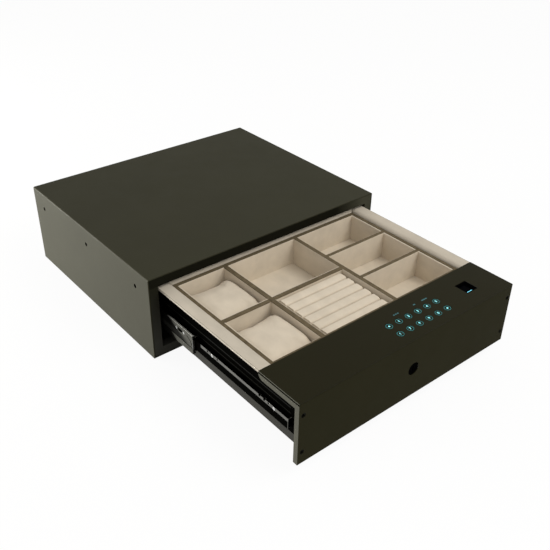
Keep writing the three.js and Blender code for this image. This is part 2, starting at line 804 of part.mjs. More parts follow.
function keyPlug() {
  const front = cylinderShort + plugShort;
  const core = bar("Y", [0, lockHeight], plugRadius, front, gearFront + gearWidth + plugBeyond);
  const slot = block(
    [-keySlot.half, keySlot.half],
    [front - past, front + keySlot.deep],
    [lockHeight - keySlot.tall, lockHeight + keySlot.tall],
  );
  return cut(join([core, gear(plugTeeth, 0, [0, lockHeight])]), [slot]);
}

// A bracket behind the face that carries the cylinder's end, the motor and the bolt's guides.
function lockChassis() {
  const middleX = plugPitchRadius / 2;
  const wide = [middleX - chassisHalf, middleX + chassisHalf];
  const [low, high] = [floorTop + chassisRise, chassisTop];
  const back = chassisFront + chassisSheet;
  const guideTop = boltTop - guideBelow;
  const guideLow = floorTop + guideRise;
  const guide = boltRight + turnGap;
  const behind = gearFront + gearWidth + turnGap;
  const guideBack = behind + chassisSheet;
  const legFront = frontSheet + seat;
  const parts = [
    block(wide, [chassisFront, back], [low, high]),
    block([guide, guide + chassisSheet], [chassisFront, guideBack], [guideLow, guideTop]),
    block([boltRight - guideHook, guide + chassisSheet], [behind, guideBack], [guideLow, guideTop]),
  ];
  for (const side of [-1, 1]) {
    const x = side < 0 ? wide[0] : wide[1];
    const leg = side < 0 ? [x, x + chassisSheet] : [x - chassisSheet, x];
    const foot = side < 0 ? [x - chassisFoot, x + chassisSheet] : [x - chassisSheet, x + chassisFoot];
    parts.push(block(leg, [legFront, back], [low, high]));
    parts.push(block(foot, [legFront, legFront + chassisSheet], [low, high]));
  }
  const holes = [
    bar("Y", [0, lockHeight], plugRadius + turnGap, chassisFront - past, back + past),
    bar("Y", [motorX, motorZ], motorShaft + turnGap, chassisFront - past, back + past, 16),
  ];
  return cut(join(parts), holes);
}

function lockMotor() {
  const back = chassisFront - seat;
  const front = back - motorLength;
  const can = bar("Y", [motorX, motorZ], motorRadius, front, back);
  const boss = bar("Y", [motorX, motorZ], motorBoss.radius, front - motorBoss.long, front + sink, 16);
  const bore = bar("Y", [motorX, motorZ], motorShaft + turnGap, back - motorSocket, back + past, 16);
  return cut(join([can, boss]), [bore]);
}

function motorPinion() {
  const phase = (motorDropPitches % 1) * ((2 * Math.PI) / motorTeeth);
  const [front, back] = [chassisFront - seat - motorShaftIn, gearFront + gearWidth + plugBeyond];
  const shaft = bar("Y", [motorX, motorZ], motorShaft, front, back, 16);
  return join([shaft, gear(motorTeeth, phase, [motorX, motorZ])]);
}

piece(drawer, "key_cylinder", keyCylinder(), colours.blackZinc);
piece(drawer, "key_plug", keyPlug(), colours.blackZinc);
piece(drawer, "lock_chassis", lockChassis(), colours.bareSteel);
piece(drawer, "lock_bolt", lockBolt(), colours.bareSteel);
piece(drawer, "lock_motor", lockMotor(), colours.bareSteel);
piece(drawer, "motor_pinion", motorPinion(), colours.brass);

// The bridge on the case's floor that the bolt drops into when the drawer is shut.
function strikeBracket() {
  const top = rimBottom - strikeDrop;
  const [x, y] = [grow(boltSlot.x, strikeMargin.x), grow(boltSlot.y, strikeMargin.y)];
  const low = caseSheet + seat;
  const at = (range) => range.map((v) => v + frontY);
  const parts = [
    block(x, at(y), [top - strikeSheet, top]),
    block([x[0], x[0] + strikeSheet], at(y), [low, top]),
    block([x[1] - strikeSheet, x[1]], at(y), [low, top]),
    block([x[0] - strikeFoot, x[0] + strikeSheet], at(y), [low, low + strikeSheet]),
    block([x[1] - strikeSheet, x[1] + strikeFoot], at(y), [low, low + strikeSheet]),
  ];
  return cut(join(parts), [block(boltSlot.x, at(boltSlot.y), [top - strikeSheet - past, top + past])]);
}

piece(safe, "strike_bracket", strikeBracket(), colours.bareSteel);

// Electronics

function batteryHolder() {
  const x = grow(hatch.x, holderWall);
  const y = grow(hatch.y, holderWall);
  const low = floorTop + seat;
  const high = low + 2 * cellRadius + cellGap + holderWall;
  const outer = join([
    block(x, y, [low, high]),
    block(grow(x, holderEar), y, [low, low + holderWall]),
  ]);
  const hollow = block(grow(x, -holderWall), grow(y, -holderWall), [low - past, high - holderWall]);
  return cut(outer, [hollow]);
}

function controlPanel() {
  const right = panInside - controlBoard.inset;
  const left = right - controlBoard.width;
  const low = panFloor + controlBoard.rise;
  const high = shellUnder - controlBoard.drop;
  const back = bayDepth - seat;
  const post = controlPost;
  const front = back - post.long;
  const parts = [block([left, right], [front - boardSheet, front], [low, high])];
  for (const x of [left + post.inset, right - post.inset]) {
    for (const z of [low + post.inset, high - post.inset]) {
      parts.push(bar("Y", [x, z], post.radius, front - sink, back, shankSides));
    }
  }
  const face = front - boardSheet;
  const buzzerLow = high - low - buzzer.below - buzzer.high;
  for (const { x, z, wide, high: tall, deep } of [processor, relay, socket, { ...buzzer, z: buzzerLow }]) {
    parts.push(block([left + x, left + x + wide], [face - deep, face + sink], [low + z, low + z + tall]));
  }
  return join(parts);
}

piece(drawer, "battery_holder", batteryHolder(), colours.blackPlastic);
for (let i = 0; i < cellCount; i += 1) {
  const x = hatch.x[0] + cellGap + cellRadius + i * (2 * cellRadius + cellGap);
  const z = floorTop + seat + cellRadius + cellGap / 2;
  const from = holderFront + cellGap;
  const shoulder = from + cellLength - cellCap.long;
  const can = bar("Y", [x, z], cellRadius, from, shoulder, 16);
  const cap = bar("Y", [x, z], cellCap.radius, shoulder - sink, from + cellLength, headSides);
  piece(drawer, `battery_cell_${i + 1}`, join([can, cap]), colours.cell);
}
piece(drawer, "battery_cover", block(hatch.x, hatch.y, [panFloor, floorTop]), colours.blackPlastic);
piece(drawer, "control_board", controlPanel(), colours.board);

// Tray. Its outer walls stand on the drawer's floor, and its boards make seven wells.

const trayInX = [trayWall - trayHalf, trayHalf - trayWall];
const trayInY = [trayFront + trayWall, trayBack - trayWall];
const firstDivider = trayInX[0] + leftColumn;
const secondDivider = firstDivider + dividerWall + middleColumn;
const shy = (range) => grow(range, -seat / 2);

function trayPiece(name, x, y, z = [wellFloor + seat, trayTop]) {
  piece(drawer, name, block(x, y, z), colours.trim);
}

const trayBase = floorTop + seat;
trayPiece("tray_left_wall", [-trayHalf, trayInX[0]], [trayFront, trayBack], [trayBase, trayTop]);
trayPiece("tray_right_wall", [trayInX[1], trayHalf], [trayFront, trayBack], [trayBase, trayTop]);
trayPiece("tray_front_wall", shy(trayInX), [trayFront, trayInY[0]], [trayBase, trayTop]);
trayPiece("tray_back_wall", shy(trayInX), [trayInY[1], trayBack], [trayBase, trayTop]);
trayPiece("tray_floor", shy(trayInX), shy(trayInY), [wellFloor - trayBoard, wellFloor]);
trayPiece("tray_left_divider", [firstDivider, firstDivider + dividerWall], shy(trayInY));
trayPiece("tray_right_divider", [secondDivider, secondDivider + dividerWall], shy(trayInY));

const middleRow = (trayInY[0] + trayInY[1]) / 2;
const crossRow = [middleRow - crossWall / 2, middleRow + crossWall / 2];
const leftSpan = [trayInX[0], firstDivider];
const middleSpan = [firstDivider + dividerWall, secondDivider];
const rightSpan = [secondDivider + dividerWall, trayInX[1]];
trayPiece("tray_left_cross_wall", shy(leftSpan), crossRow);
trayPiece("tray_middle_cross_wall", shy(middleSpan), crossRow);
const rightWell = (innerDepth - (rightRows - 1) * crossWall) / rightRows;
for (let i = 1; i < rightRows; i += 1) {
  const y = trayInY[0] + i * rightWell + (i - 1) * crossWall;
  trayPiece(`tray_right_cross_wall_${i}`, shy(rightSpan), [y, y + crossWall]);
}

// A stuffed pillow: nearly square, with full sides, rounded front and rear ends and a slight pinch.
function pillow([x0, x1], [y0, y1], base, height) {
  const [cx, cy] = [(x0 + x1) / 2, (y0 + y1) / 2];
  const [hx, hy] = [(x1 - x0) / 2, (y1 - y0) / 2];
  const cells = 14;
  const positions = [];
  const faces = [];
  const dome = (s, power) => Math.sqrt(1 - Math.abs(s) ** power);
  const point = (i, j, top) => {
    const [s, t] = [(2 * i) / cells - 1, (2 * j) / cells - 1];
    const x = cx + hx * s * (1 - pillowPinch * 0.5 * (1 - t ** 2) * s ** 2);
    const y = cy + hy * t * (1 - pillowPinch * 0.5 * (1 - s ** 2) * t ** 2);
    const lift = dome(s, pillowFullness.across) * dome(t, pillowFullness.along);
    const z = base + height * (top ? 0.42 + 0.58 * lift : 0.42 - 0.42 * Math.min(1, lift * 1.4));
    return [x, y, z];
  };
  const row = cells + 1;
  for (const top of [true, false]) {
    for (let j = 0; j <= cells; j += 1) {
      for (let i = 0; i <= cells; i += 1) positions.push(...point(i, j, top));
    }
  }
  const below = row * row;
  for (let j = 0; j < cells; j += 1) {
    for (let i = 0; i < cells; i += 1) {
      const [a, b, c, d] = [j * row + i, j * row + i + 1, (j + 1) * row + i + 1, (j + 1) * row + i];
      faces.push(a, b, c, a, c, d);
      faces.push(below + a, below + c, below + b, below + a, below + d, below + c);
    }
  }
  const geometry = new THREE.BufferGeometry();
  geometry.setAttribute("position", new THREE.Float32BufferAttribute(positions, 3));
  geometry.setIndex(faces);
  return toSolid(geometry);
}

const pillowX = grow(leftSpan, -pillowGap);
const pillowBase = wellFloor + seat;
piece(
  drawer,
  "front_watch_pillow",
  pillow(pillowX, grow([trayInY[0], crossRow[0]], -pillowGap), pillowBase, pillowHeight),
  colours.velvet,
);
piece(
  drawer,
  "rear_watch_pillow",
  pillow(pillowX, grow([crossRow[1], trayInY[1]], -pillowGap), pillowBase, pillowHeight),
  colours.velvet,
);

// The ring pad: a row of upright foam ridges with round tops, on one board.
function ringPad() {
  const [y0, y1] = grow([trayInY[0], crossRow[0]], -seat);
  const x = [middleSpan[0] + ridgeEndGap, middleSpan[1] - ridgeEndGap];
  const pitch = (y1 - y0) / ridgeCount;
  const arc = 8;
  const spring = trayTop - ridgeBelow - ridgeDeep;
  const outline = [
    [y0, pillowBase],
    [y1, pillowBase],
  ];
  for (let i = ridgeCount - 1; i >= 0; i -= 1) {
    const centre = y0 + (i + 0.5) * pitch;
    for (let k = 0; k <= arc; k += 1) {
      const turn = (Math.PI * k) / arc;
      const y = centre + (pitch / 2 - 0.25) * Math.cos(turn);
      outline.push([y, spring + ridgeDeep * Math.sin(turn)]);
    }
  }
  return extrude("X", outline, ...x);
}

piece(drawer, "ring_pad", ringPad(), colours.velvet);

// The padded edge lies on the pan's flanges on three sides and is mitred at the two rear corners. Its
// outline runs from the outer edge, at 0, inwards.
const edgeBase = panTop + seat;
const edgeInnerFrom = wallSet + panSheet + seat;

function edgeOutline(place) {
  const arc = 6;
  const points = [
    [0, edgeBase],
    [0, edgeTop - edgeRound],
  ];
  for (let k = 1; k <= 3; k += 1) {
    const turn = (Math.PI / 2) * (k / 3);
    points.push([edgeRound * (1 - Math.cos(turn)), edgeTop - edgeRound * (1 - Math.sin(turn))]);
  }
  for (let k = 0; k <= arc; k += 1) {
    const turn = (Math.PI / 2) * (k / arc);
    points.push([edgeWidth - edgeRoll * (1 - Math.sin(turn)), edgeTop - edgeRoll * (1 - Math.cos(turn))]);
  }
  points.push([edgeWidth, edgeDrop], [edgeInnerFrom, edgeDrop], [edgeInnerFrom, edgeBase]);
  const placed = points.map(([s, z]) => [place(s), z]);
  return signedArea(placed) < 0 ? placed.reverse() : placed;
}

// The mitre's plane runs from the inner corner to the outer corner. The tool clears one side of it:
// the rear board's side for toward 1, and the side board's for toward -1.
const mitreInner = [edgeOuter - edgeWidth, edgeBack - edgeWidth];
const mitreOuter = [edgeOuter, edgeBack];
const mitreReach = 60;

function mitreTool(side, toward) {
  const [dx, dy] = [mitreOuter[0] - mitreInner[0], mitreOuter[1] - mitreInner[1]];
  const length = Math.hypot(dx, dy);
  const [ux, uy] = [dx / length, dy / length];
  const corner = ([x, y], forward, out) => [
    side * (x + ux * forward - uy * out * toward),
    y + uy * forward + ux * out * toward,
  ];
  const outline = [
    corner(mitreInner, -mitreReach, -seat / 2),
    corner(mitreOuter, mitreReach, -seat / 2),
    corner(mitreOuter, mitreReach, mitreReach),
    corner(mitreInner, -mitreReach, mitreReach),
  ];
  const turned = signedArea(outline) < 0 ? outline.reverse() : outline;
  return extrude("Z", turned, edgeDrop - 1, edgeTop + 1);
}

for (const side of [-1, 1]) {
  const outline = edgeOutline((s) => side * (edgeOuter - s));
  const board = cut(extrude("Y", outline, deckDepth + seat, edgeBack), [mitreTool(side, 1)]);
  piece(drawer, `${side < 0 ? "left" : "right"}_padded_edge`, board, colours.velvet);
}
const rearOutline = edgeOutline((s) => edgeBack - s);
const rearBoard = extrude("X", rearOutline, -edgeOuter, edgeOuter);
piece(drawer, "rear_padded_edge", cut(rearBoard, [mitreTool(-1, -1), mitreTool(1, -1)]), colours.velvet);

export default safe;
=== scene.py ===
"""Looks of the drawer safe: finishes, rounded edges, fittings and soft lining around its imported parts."""

import json
import math

import bmesh
import bpy
from mathutils import Matrix, Vector, noise


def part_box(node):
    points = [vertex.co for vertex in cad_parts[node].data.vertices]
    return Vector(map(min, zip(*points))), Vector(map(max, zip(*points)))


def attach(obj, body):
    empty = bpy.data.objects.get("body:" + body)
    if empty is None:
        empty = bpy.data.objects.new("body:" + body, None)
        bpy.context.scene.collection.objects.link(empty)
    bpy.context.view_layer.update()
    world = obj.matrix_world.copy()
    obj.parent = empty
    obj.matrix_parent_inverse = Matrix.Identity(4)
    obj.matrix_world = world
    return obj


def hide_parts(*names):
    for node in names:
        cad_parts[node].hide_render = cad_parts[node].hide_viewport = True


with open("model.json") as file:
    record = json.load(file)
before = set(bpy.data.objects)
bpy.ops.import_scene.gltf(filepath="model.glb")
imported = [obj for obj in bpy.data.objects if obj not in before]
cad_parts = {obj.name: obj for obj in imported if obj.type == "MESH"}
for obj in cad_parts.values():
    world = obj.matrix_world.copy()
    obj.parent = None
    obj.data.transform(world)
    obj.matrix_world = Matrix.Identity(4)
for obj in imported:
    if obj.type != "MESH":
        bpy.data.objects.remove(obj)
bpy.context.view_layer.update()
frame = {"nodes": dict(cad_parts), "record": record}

NODES = frame["nodes"]
BODY_OF = {node: body for body, held in frame["record"]["behaviour"]["bodies"].items() for node in held}
SLOT_OF = {part["node"]: part["material_slot"] for part in frame["record"]["subparts"]}
MM = 0.001
scene = bpy.context.scene

# ---- camera

CAMERA_PLACE = Vector((-0.58078, -0.87359, 0.64466))
AZIMUTH = math.radians(-39.830)
ELEVATION = math.radians(32.859)
ROLL = math.radians(0.936)
LENS_MM = 49.2545


def add_camera():
    """Looks at the safe as the photograph does."""
    level = Vector((math.sin(AZIMUTH), -math.cos(AZIMUTH), 0.0))
    back = level * math.cos(ELEVATION) + Vector((0.0, 0.0, math.sin(ELEVATION)))
    right = Vector((math.cos(AZIMUTH), math.sin(AZIMUTH), 0.0))
    up = back.cross(right)
    turned_right = right * math.cos(ROLL) + up * math.sin(ROLL)
    turned_up = up * math.cos(ROLL) - right * math.sin(ROLL)
    turn = Matrix((turned_right, turned_up, back)).transposed().to_4x4()
    data = bpy.data.cameras.new("camera")
    data.lens = LENS_MM
    camera = bpy.data.objects.new("camera", data)
    scene.collection.objects.link(camera)
    camera.matrix_world = Matrix.Translation(CAMERA_PLACE) @ turn
    scene.camera = camera


add_camera()

# ---- finishes

NOISE_ROUGHNESS = 0.55
NOISE_RANGE = (0.3, 0.7)
TONE_STOPS = (0.32, 0.68)
EVEN = (1, 1, 1)
DRAWN = (1, 0.04, 1)


def add_node(tree, kind, values, links, **settings):
    """Adds a node, fills its sockets with the values and links the given outputs to its inputs."""
    node = tree.nodes.new(kind)
    for name, value in settings.items():
        setattr(node, name, value)
    for socket, value in values.items():
        node.inputs[socket].default_value = value
    for socket, source in links.items():
        tree.links.new(source, node.inputs[socket])
    return node


def shade(colour, factor):
    """The colour with its strength times the factor."""
    return tuple(min(1.0, c * factor) for c in colour)


class Finish:
    """One procedural material: a Principled shader and short calls for the textures that drive it."""

    def __init__(self, name, sockets):
        self.material = bpy.data.materials.new(name)
        self.material.use_nodes = True
        self.tree = self.material.node_tree
        self.shader = self.tree.nodes["Principled BSDF"]
        for socket, value in sockets.items():
            self.shader.inputs[socket].default_value = value
        self.place = self.tree.nodes.new("ShaderNodeTexCoord").outputs["Object"]

    def add(self, kind, values, links, **settings):
        return add_node(self.tree, kind, values, links, **settings)

    def drive(self, socket, value):
        self.tree.links.new(value, self.shader.inputs[socket])

    def along(self, axis):
        return self.add("ShaderNodeSeparateXYZ", {}, {0: self.place}).outputs[axis]

    def noise(self, scale, detail=3.0, stretch=EVEN):
        mapping = self.add("ShaderNodeMapping", {"Scale": stretch}, {"Vector": self.place})
        values = {"Scale": scale, "Detail": detail, "Roughness": NOISE_ROUGHNESS}
        return self.add("ShaderNodeTexNoise", values, {"Vector": mapping.outputs["Vector"]}).outputs["Fac"]

    def cells(self, scale):
        return self.add("ShaderNodeTexVoronoi", {"Scale": scale}, {"Vector": self.place}).outputs["Distance"]

    def tones(self, pattern, dark, light, stops=TONE_STOPS):
        ramp = self.add("ShaderNodeValToRGB", {}, {"Fac": pattern})
        for stop, place, colour in zip(ramp.color_ramp.elements, stops, (dark, light)):
            stop.position = place
            stop.color = (*colour, 1)
        return ramp.outputs["Color"]

    def mottle(self, pattern, colour, dark, light):
        """The colour, with the pattern taking it from dark to light times its strength."""
        return self.tones(pattern, shade(colour, dark), shade(colour, light))

    def fade(self, value, start, end, first, last):
        """Goes from the first tone, a colour or a socket, to the last as the value runs on."""
        share = self.add("ShaderNodeMapRange", {"From Min": start, "From Max": end}, {"Value": value})
        values, links = {"B": (*last, 1)}, {"Factor": share.outputs["Result"]}
        if isinstance(first, tuple):
            values["A"] = (*first, 1)
        else:
            links["A"] = first
        return self.add("ShaderNodeMix", values, links, data_type="RGBA").outputs["Result"]

    def roughen(self, pattern, low, high):
        values = {"From Min": NOISE_RANGE[0], "From Max": NOISE_RANGE[1], "To Min": low, "To Max": high}
        self.drive("Roughness", self.add("ShaderNodeMapRange", values, {"Value": pattern}).outputs["Result"])

    def bump(self, height, distance, strength, below=None):
        values = {"Distance": distance, "Strength": strength}
        links = {"Height": height} if below is None else {"Height": height, "Normal": below}
        return self.add("ShaderNodeBump", values, links).outputs["Normal"]


def powder_coat(name, colour, roughness, specular):
    """Baked powder paint: a fine orange peel, faint clouds in its tone and slightly duller patches."""
    finish = Finish(name, {"Specular IOR Level": specular})
    finish.drive("Base Color", finish.mottle(finish.noise(9.0, 4.0), colour, 0.96, 1.04))
    finish.roughen(finish.noise(34.0, 5.0), roughness - 0.03, roughness + 0.03)
    finish.drive("Normal", finish.bump(finish.noise(900.0, 2.0), 0.00004, 0.35))
    return finish.material


def blotched_steel(finish, colour, roughness, run):
    """Gives a finish a steel's grain, drawn along the run, and returns the tone of its blotches."""
    grain = finish.noise(1400.0, 3.0, run)
    finish.roughen(grain, roughness - 0.07, roughness + 0.09)
    finish.drive("Normal", finish.bump(grain, 0.00002, 0.3))
    return finish.mottle(finish.noise(42.0, 4.0), colour, 0.84, 1.1)


def plated(name, colour, roughness, metallic, specular=0.5, run=DRAWN):
    """Plated steel: a drawn grain that runs along Y, and blotches where the plating is thinner."""
    finish = Finish(name, {"Metallic": metallic, "Specular IOR Level": specular})
    finish.drive("Base Color", blotched_steel(finish, colour, roughness, run))
    return finish.material


def shaded(name, axis, start, end, first, last):
    """The frame's coat with painted shade: its tone goes over from the first to the last colour along one
    axis.
    """
    finish = Finish(name, {"Specular IOR Level": 0.01, "Roughness": 0.5})
    finish.drive("Base Color", finish.fade(finish.along(axis), start, end, first, last))
    return finish.material


# Painted shade: the near-black that the slide members darken to towards the rear, where the case shades them.
PAINTED_SHADE = (0.002, 0.002, 0.0016)
FADED_ROUGHNESS = 0.42


def faded_into_shade(name, colour, lean, height, shade_starts, dark, shade_colour=PAINTED_SHADE):
    """A slide member's plated steel with painted shade: bright in front and darkened on the part that runs in
    the case, where the case shades it. At the given height the painted shade fades in along Y between the two
    given places, and lean tilts its edge."""
    finish = Finish(name, {"Specular IOR Level": 0.02})
    places = {0: finish.along("Z"), 2: finish.along("Y")}
    leaning = finish.add("ShaderNodeMath", {1: -lean}, places, operation="MULTIPLY_ADD").outputs[0]
    shift = lean * height
    steel = blotched_steel(finish, colour, FADED_ROUGHNESS, DRAWN)
    finish.drive("Base Color", finish.fade(leaning, shade_starts - shift, dark - shift, steel, shade_colour))
    return finish.material


def flocked(name, colour, tint):
    """Short-pile velvet: brushed patches of lighter and darker nap over a fine pile."""
    gloss = {"Roughness": 0.92, "Specular IOR Level": 0.12}
    sheen = {"Sheen Weight": 0.22, "Sheen Roughness": 0.45, "Sheen Tint": (*tint, 1)}
    finish = Finish(name, {**gloss, **sheen})
    nap = finish.noise(55.0, 4.0, (1, 0.6, 1))
    finish.drive("Base Color", finish.mottle(nap, colour, 0.93, 1.05))
    soft = finish.bump(nap, 0.0006, 0.25)
    finish.drive("Normal", finish.bump(finish.noise(2600.0, 2.0), 0.00012, 0.5, soft))
    return finish.material


def grained(name, colour, roughness):
    """Leather-like paper over the board edges: small pebbles and a faint mottling."""
    finish = Finish(name, {"Specular IOR Level": 0.04})
    finish.drive("Base Color", finish.mottle(finish.noise(120.0, 4.0), colour, 0.82, 1.18))
    finish.roughen(finish.noise(300.0), roughness - 0.06, roughness + 0.06)
    finish.drive("Normal", finish.bump(finish.cells(1300.0), 0.00008, 0.5))
    return finish.material


def moulded(name, colour, roughness, specular=0.4):
    """Moulded plastic with a faint mottling and a fine grain."""
    finish = Finish(name, {"Specular IOR Level": specular})
    finish.drive("Base Color", finish.mottle(finish.noise(70.0), colour, 0.85, 1.15))
    finish.roughen(finish.noise(240.0), roughness - 0.04, roughness + 0.06)
    finish.drive("Normal", finish.bump(finish.noise(1700.0, 2.0), 0.00003, 0.3))
    return finish.material


def glowing(name, colour):
    """A lit window: its light is a little stronger in some spots than in others."""
    finish = Finish(name, {"Emission Strength": 1.0, "Roughness": 0.35})
    glow = finish.mottle(finish.noise(420.0, 2.0), colour, 0.82, 1.12)
    finish.drive("Base Color", glow)
    finish.drive("Emission Color", glow)
    return finish.material


def board_green(name):
    """A circuit board's lacquer, with copper tracks along Y that show through it."""
    finish = Finish(name, {"Specular IOR Level": 0.5, "Roughness": 0.35})
    tracks = finish.noise(300.0, 1.0, (1, 0.12, 1))
    bare, track = (0.01, 0.082, 0.034), (0.02, 0.13, 0.058)
    finish.drive("Base Color", finish.tones(tracks, bare, track, (0.48, 0.52)))
    finish.drive("Normal", finish.bump(tracks, 0.00003, 0.4))
    return finish.material


COAT = (0.0332, 0.0322, 0.0197)
CONSOLE_COAT = (0.0178, 0.0166, 0.0072)
FINISHES = (
    ("coat", powder_coat, COAT, 0.52, 0.03),
    ("coat_back", powder_coat, (0.03, 0.0296, 0.0222), 0.52, 0.03),
    # Painted light: a lighter coat for the case's sides.
    ("coat_side", powder_coat, (0.044, 0.0434, 0.0325), 0.52, 0.03),
    # Painted shade: the coat's rounded edges are a little darker, so they catch less light.
    ("coat_edge", powder_coat, shade(COAT, 0.85), 0.5, 0.03),
    ("console_coat", powder_coat, CONSOLE_COAT, 0.5, 0.012),
    ("console_edge", powder_coat, shade(CONSOLE_COAT, 1.05), 0.45, 0.02),
    # Painted light: a paler coat for the console's sides.
    ("console_side", powder_coat, (0.064, 0.0632, 0.05), 0.5, 0.03),
    # A near-black coat: for parts inside the case, and as painted shade in seams, holes and on the drawer's
    # upper walls.
    ("inner_coat", powder_coat, (0.0009, 0.0009, 0.0007), 0.42, 0.001),
    # Painted shade on the front frame: the upper bar is dark, lightening towards its right end and the
    # right-hand bar, and the other bars darken towards the top.
    ("frame_top", shaded, "X", 0.125, 0.18, (0.008, 0.0078, 0.0048), (0.048, 0.047, 0.032)),
    ("frame_left", shaded, "Z", 0.02, 0.105, (0.04, 0.0395, 0.033), (0.014, 0.0136, 0.0085)),
    # Painted shade: a darker coat for the console's right-hand corner.
    ("console_rim", powder_coat, (0.008, 0.0076, 0.0034), 0.5, 0.002),
    ("sill_coat", powder_coat, (0.027, 0.0265, 0.0225), 0.5, 0.05),
    ("deck", powder_coat, (0.0146, 0.0134, 0.0058), 0.44, 0.03),
    ("deck_edge", powder_coat, (0.015, 0.014, 0.007), 0.42, 0.03),
    ("steel", plated, (0.46, 0.46, 0.44), 0.34, 1.0),
    ("zinc", plated, (0.0008, 0.0008, 0.0006), 0.38, 0.0, 0.001),
    # The slide members' steel fades into painted shade towards the rear. The flange row's pale tone is a
    # painted highlight, and the groove row is a band of painted shade on the web that darkens further
    # forward.
    ("member", faded_into_shade, (0.063, 0.063, 0.055), 1.9, 0.0675, -0.184, -0.177),
    # The track row also paints the highlight on the rail's front end, and the row after it is the painted
    # highlight on the rail's upper corner.
    ("track", plated, (0.036, 0.0355, 0.031), 0.36, 0.0, 0.1),
    ("rail_light", plated, (0.064, 0.0636, 0.0565), 0.36, 0.0, 0.24),
    ("lip", faded_into_shade, (0.058, 0.058, 0.05), 1.5, 0.0414, -0.196, -0.189),
    ("flange", faded_into_shade, (0.6, 0.6, 0.55), 1.9, 0.0675, -0.186, -0.174),
    ("groove", faded_into_shade, (0.058, 0.058, 0.05), 1.5, 0.053, -0.222, -0.206, (0.008, 0.008, 0.0068)),
    ("screw", plated, (0.58, 0.58, 0.56), 0.26, 1.0, 0.5, EVEN),
    ("black_screw", plated, (0.0016, 0.0016, 0.0014), 0.35, 0.0, 0.01, EVEN),
    ("screw_rim", plated, (0.003, 0.0029, 0.002), 0.4, 0.0, 0.02, EVEN),
    ("lock_black", moulded, (0.0004, 0.0004, 0.0004), 0.4, 0.001),
    ("bead", plated, (0.006, 0.006, 0.0048), 0.4, 0.0, 0.05),
    ("plastic", moulded, (0.0012, 0.0012, 0.0012), 0.45, 0.002),
    ("glass", moulded, (0.0006, 0.0008, 0.0011), 0.12, 0.003),
    ("cyan", glowing, (0.2, 0.64, 0.68)),
    ("cyan_bar", glowing, (0.16, 0.62, 0.78)),
    ("cyan_ring", glowing, (0.012, 0.175, 0.185)),
    ("cyan_dim", glowing, (0.002, 0.054, 0.062)),
    ("board", board_green),
    ("brass", plated, (0.46, 0.32, 0.09), 0.32, 1.0, 0.5, EVEN),
    ("wrap", moulded, (0.08, 0.092, 0.106), 0.3),
    ("velvet", flocked, (0.62, 0.545, 0.435), (1.0, 0.93, 0.84)),
    # Painted shade on the padded edges: this velvet is darker than the tray's, and the next one darker still
    # on their outer side.
    ("edge_velvet", flocked, (0.492, 0.441, 0.36), (1.0, 0.94, 0.86)),
    ("edge_side", flocked, (0.3, 0.27, 0.22), (1.0, 0.94, 0.86)),
    ("trim", grained, (0.118, 0.092, 0.055), 0.62),
)
LOOKS = {name: make(name, *values) for name, make, *values in FINISHES}
LOOK_OF_SLOT = {
    "case_coat": "coat",
    "bare_steel": "steel",
    "black_zinc": "zinc",
    "deck_panel": "deck",
    "black_plastic": "plastic",
    "reader_glass": "glass",
    "lit_cyan": "cyan",
    "circuit_board": "board",
    "cell_wrap": "wrap",
    "tray_velvet": "trim",
}

for node, thing in NODES.items():
    slot = SLOT_OF[node]
    for held in thing.material_slots:
        held.material = LOOKS[LOOK_OF_SLOT.get(slot, slot)]

# ---- mesh helpers

SHARP = math.radians(35)
BEVEL = {"offset_type": "OFFSET", "profile": 0.6, "affect": "EDGES"}
ROUNDED = 1  # the place of the look that rounded edges take
AXES = {"X": Vector((1, 0, 0)), "Y": Vector((0, 1, 0)), "Z": Vector((0, 0, 1))}


def piece(name, mesh, body, looks, replaces):
    """Makes an object of the mesh, with the looks as its materials, riding on the body."""
    for look in looks:
        mesh.materials.append(LOOKS[look])
    thing = bpy.data.objects.new(name, mesh)
    scene.collection.objects.link(thing)
    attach(thing, body)
    if replaces:
        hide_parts(*replaces)
    return thing


def finished_mesh(name, bm, sharp):
    bmesh.ops.recalc_face_normals(bm, faces=bm.faces)
    for face in bm.faces:
        face.smooth = True
    for edge in bm.edges:
        if len(edge.link_faces) == 2 and edge.calc_face_angle(0.0) > sharp:
            edge.smooth = False
    mesh = bpy.data.meshes.new(name)
    bm.to_mesh(mesh)
    bm.free()
    return mesh


def built(name, bm, node, looks, replaces=(), sharp=SHARP):
    """Makes a piece of the solid in bm, with the given looks, on the node's body."""
    mesh = finished_mesh(name, bm, sharp)
    return piece(name, mesh, BODY_OF[node], looks, replaces)


def flat_shading(thing):
    """Keeps wide flat faces flat beside their rounded edges."""
    weighted = thing.modifiers.new("weighted", "WEIGHTED_NORMAL")
    weighted.keep_sharp = True
    weighted.weight = 80
    return thing


def node_bmesh(node):
    """A CAD node's solid with its shared corners joined and its flat faces whole."""
    bm = bmesh.new()
    bm.from_mesh(NODES[node].data)
    bmesh.ops.remove_doubles(bm, verts=bm.verts, dist=2e-6)
    bmesh.ops.dissolve_limit(
        bm, angle_limit=math.radians(0.5), use_dissolve_boundaries=False, verts=bm.verts, edges=bm.edges
    )
    return bm


def plane(axis, place):
    """A plane square to an axis: a point on it and its direction."""
    return AXES[axis] * place, AXES[axis]


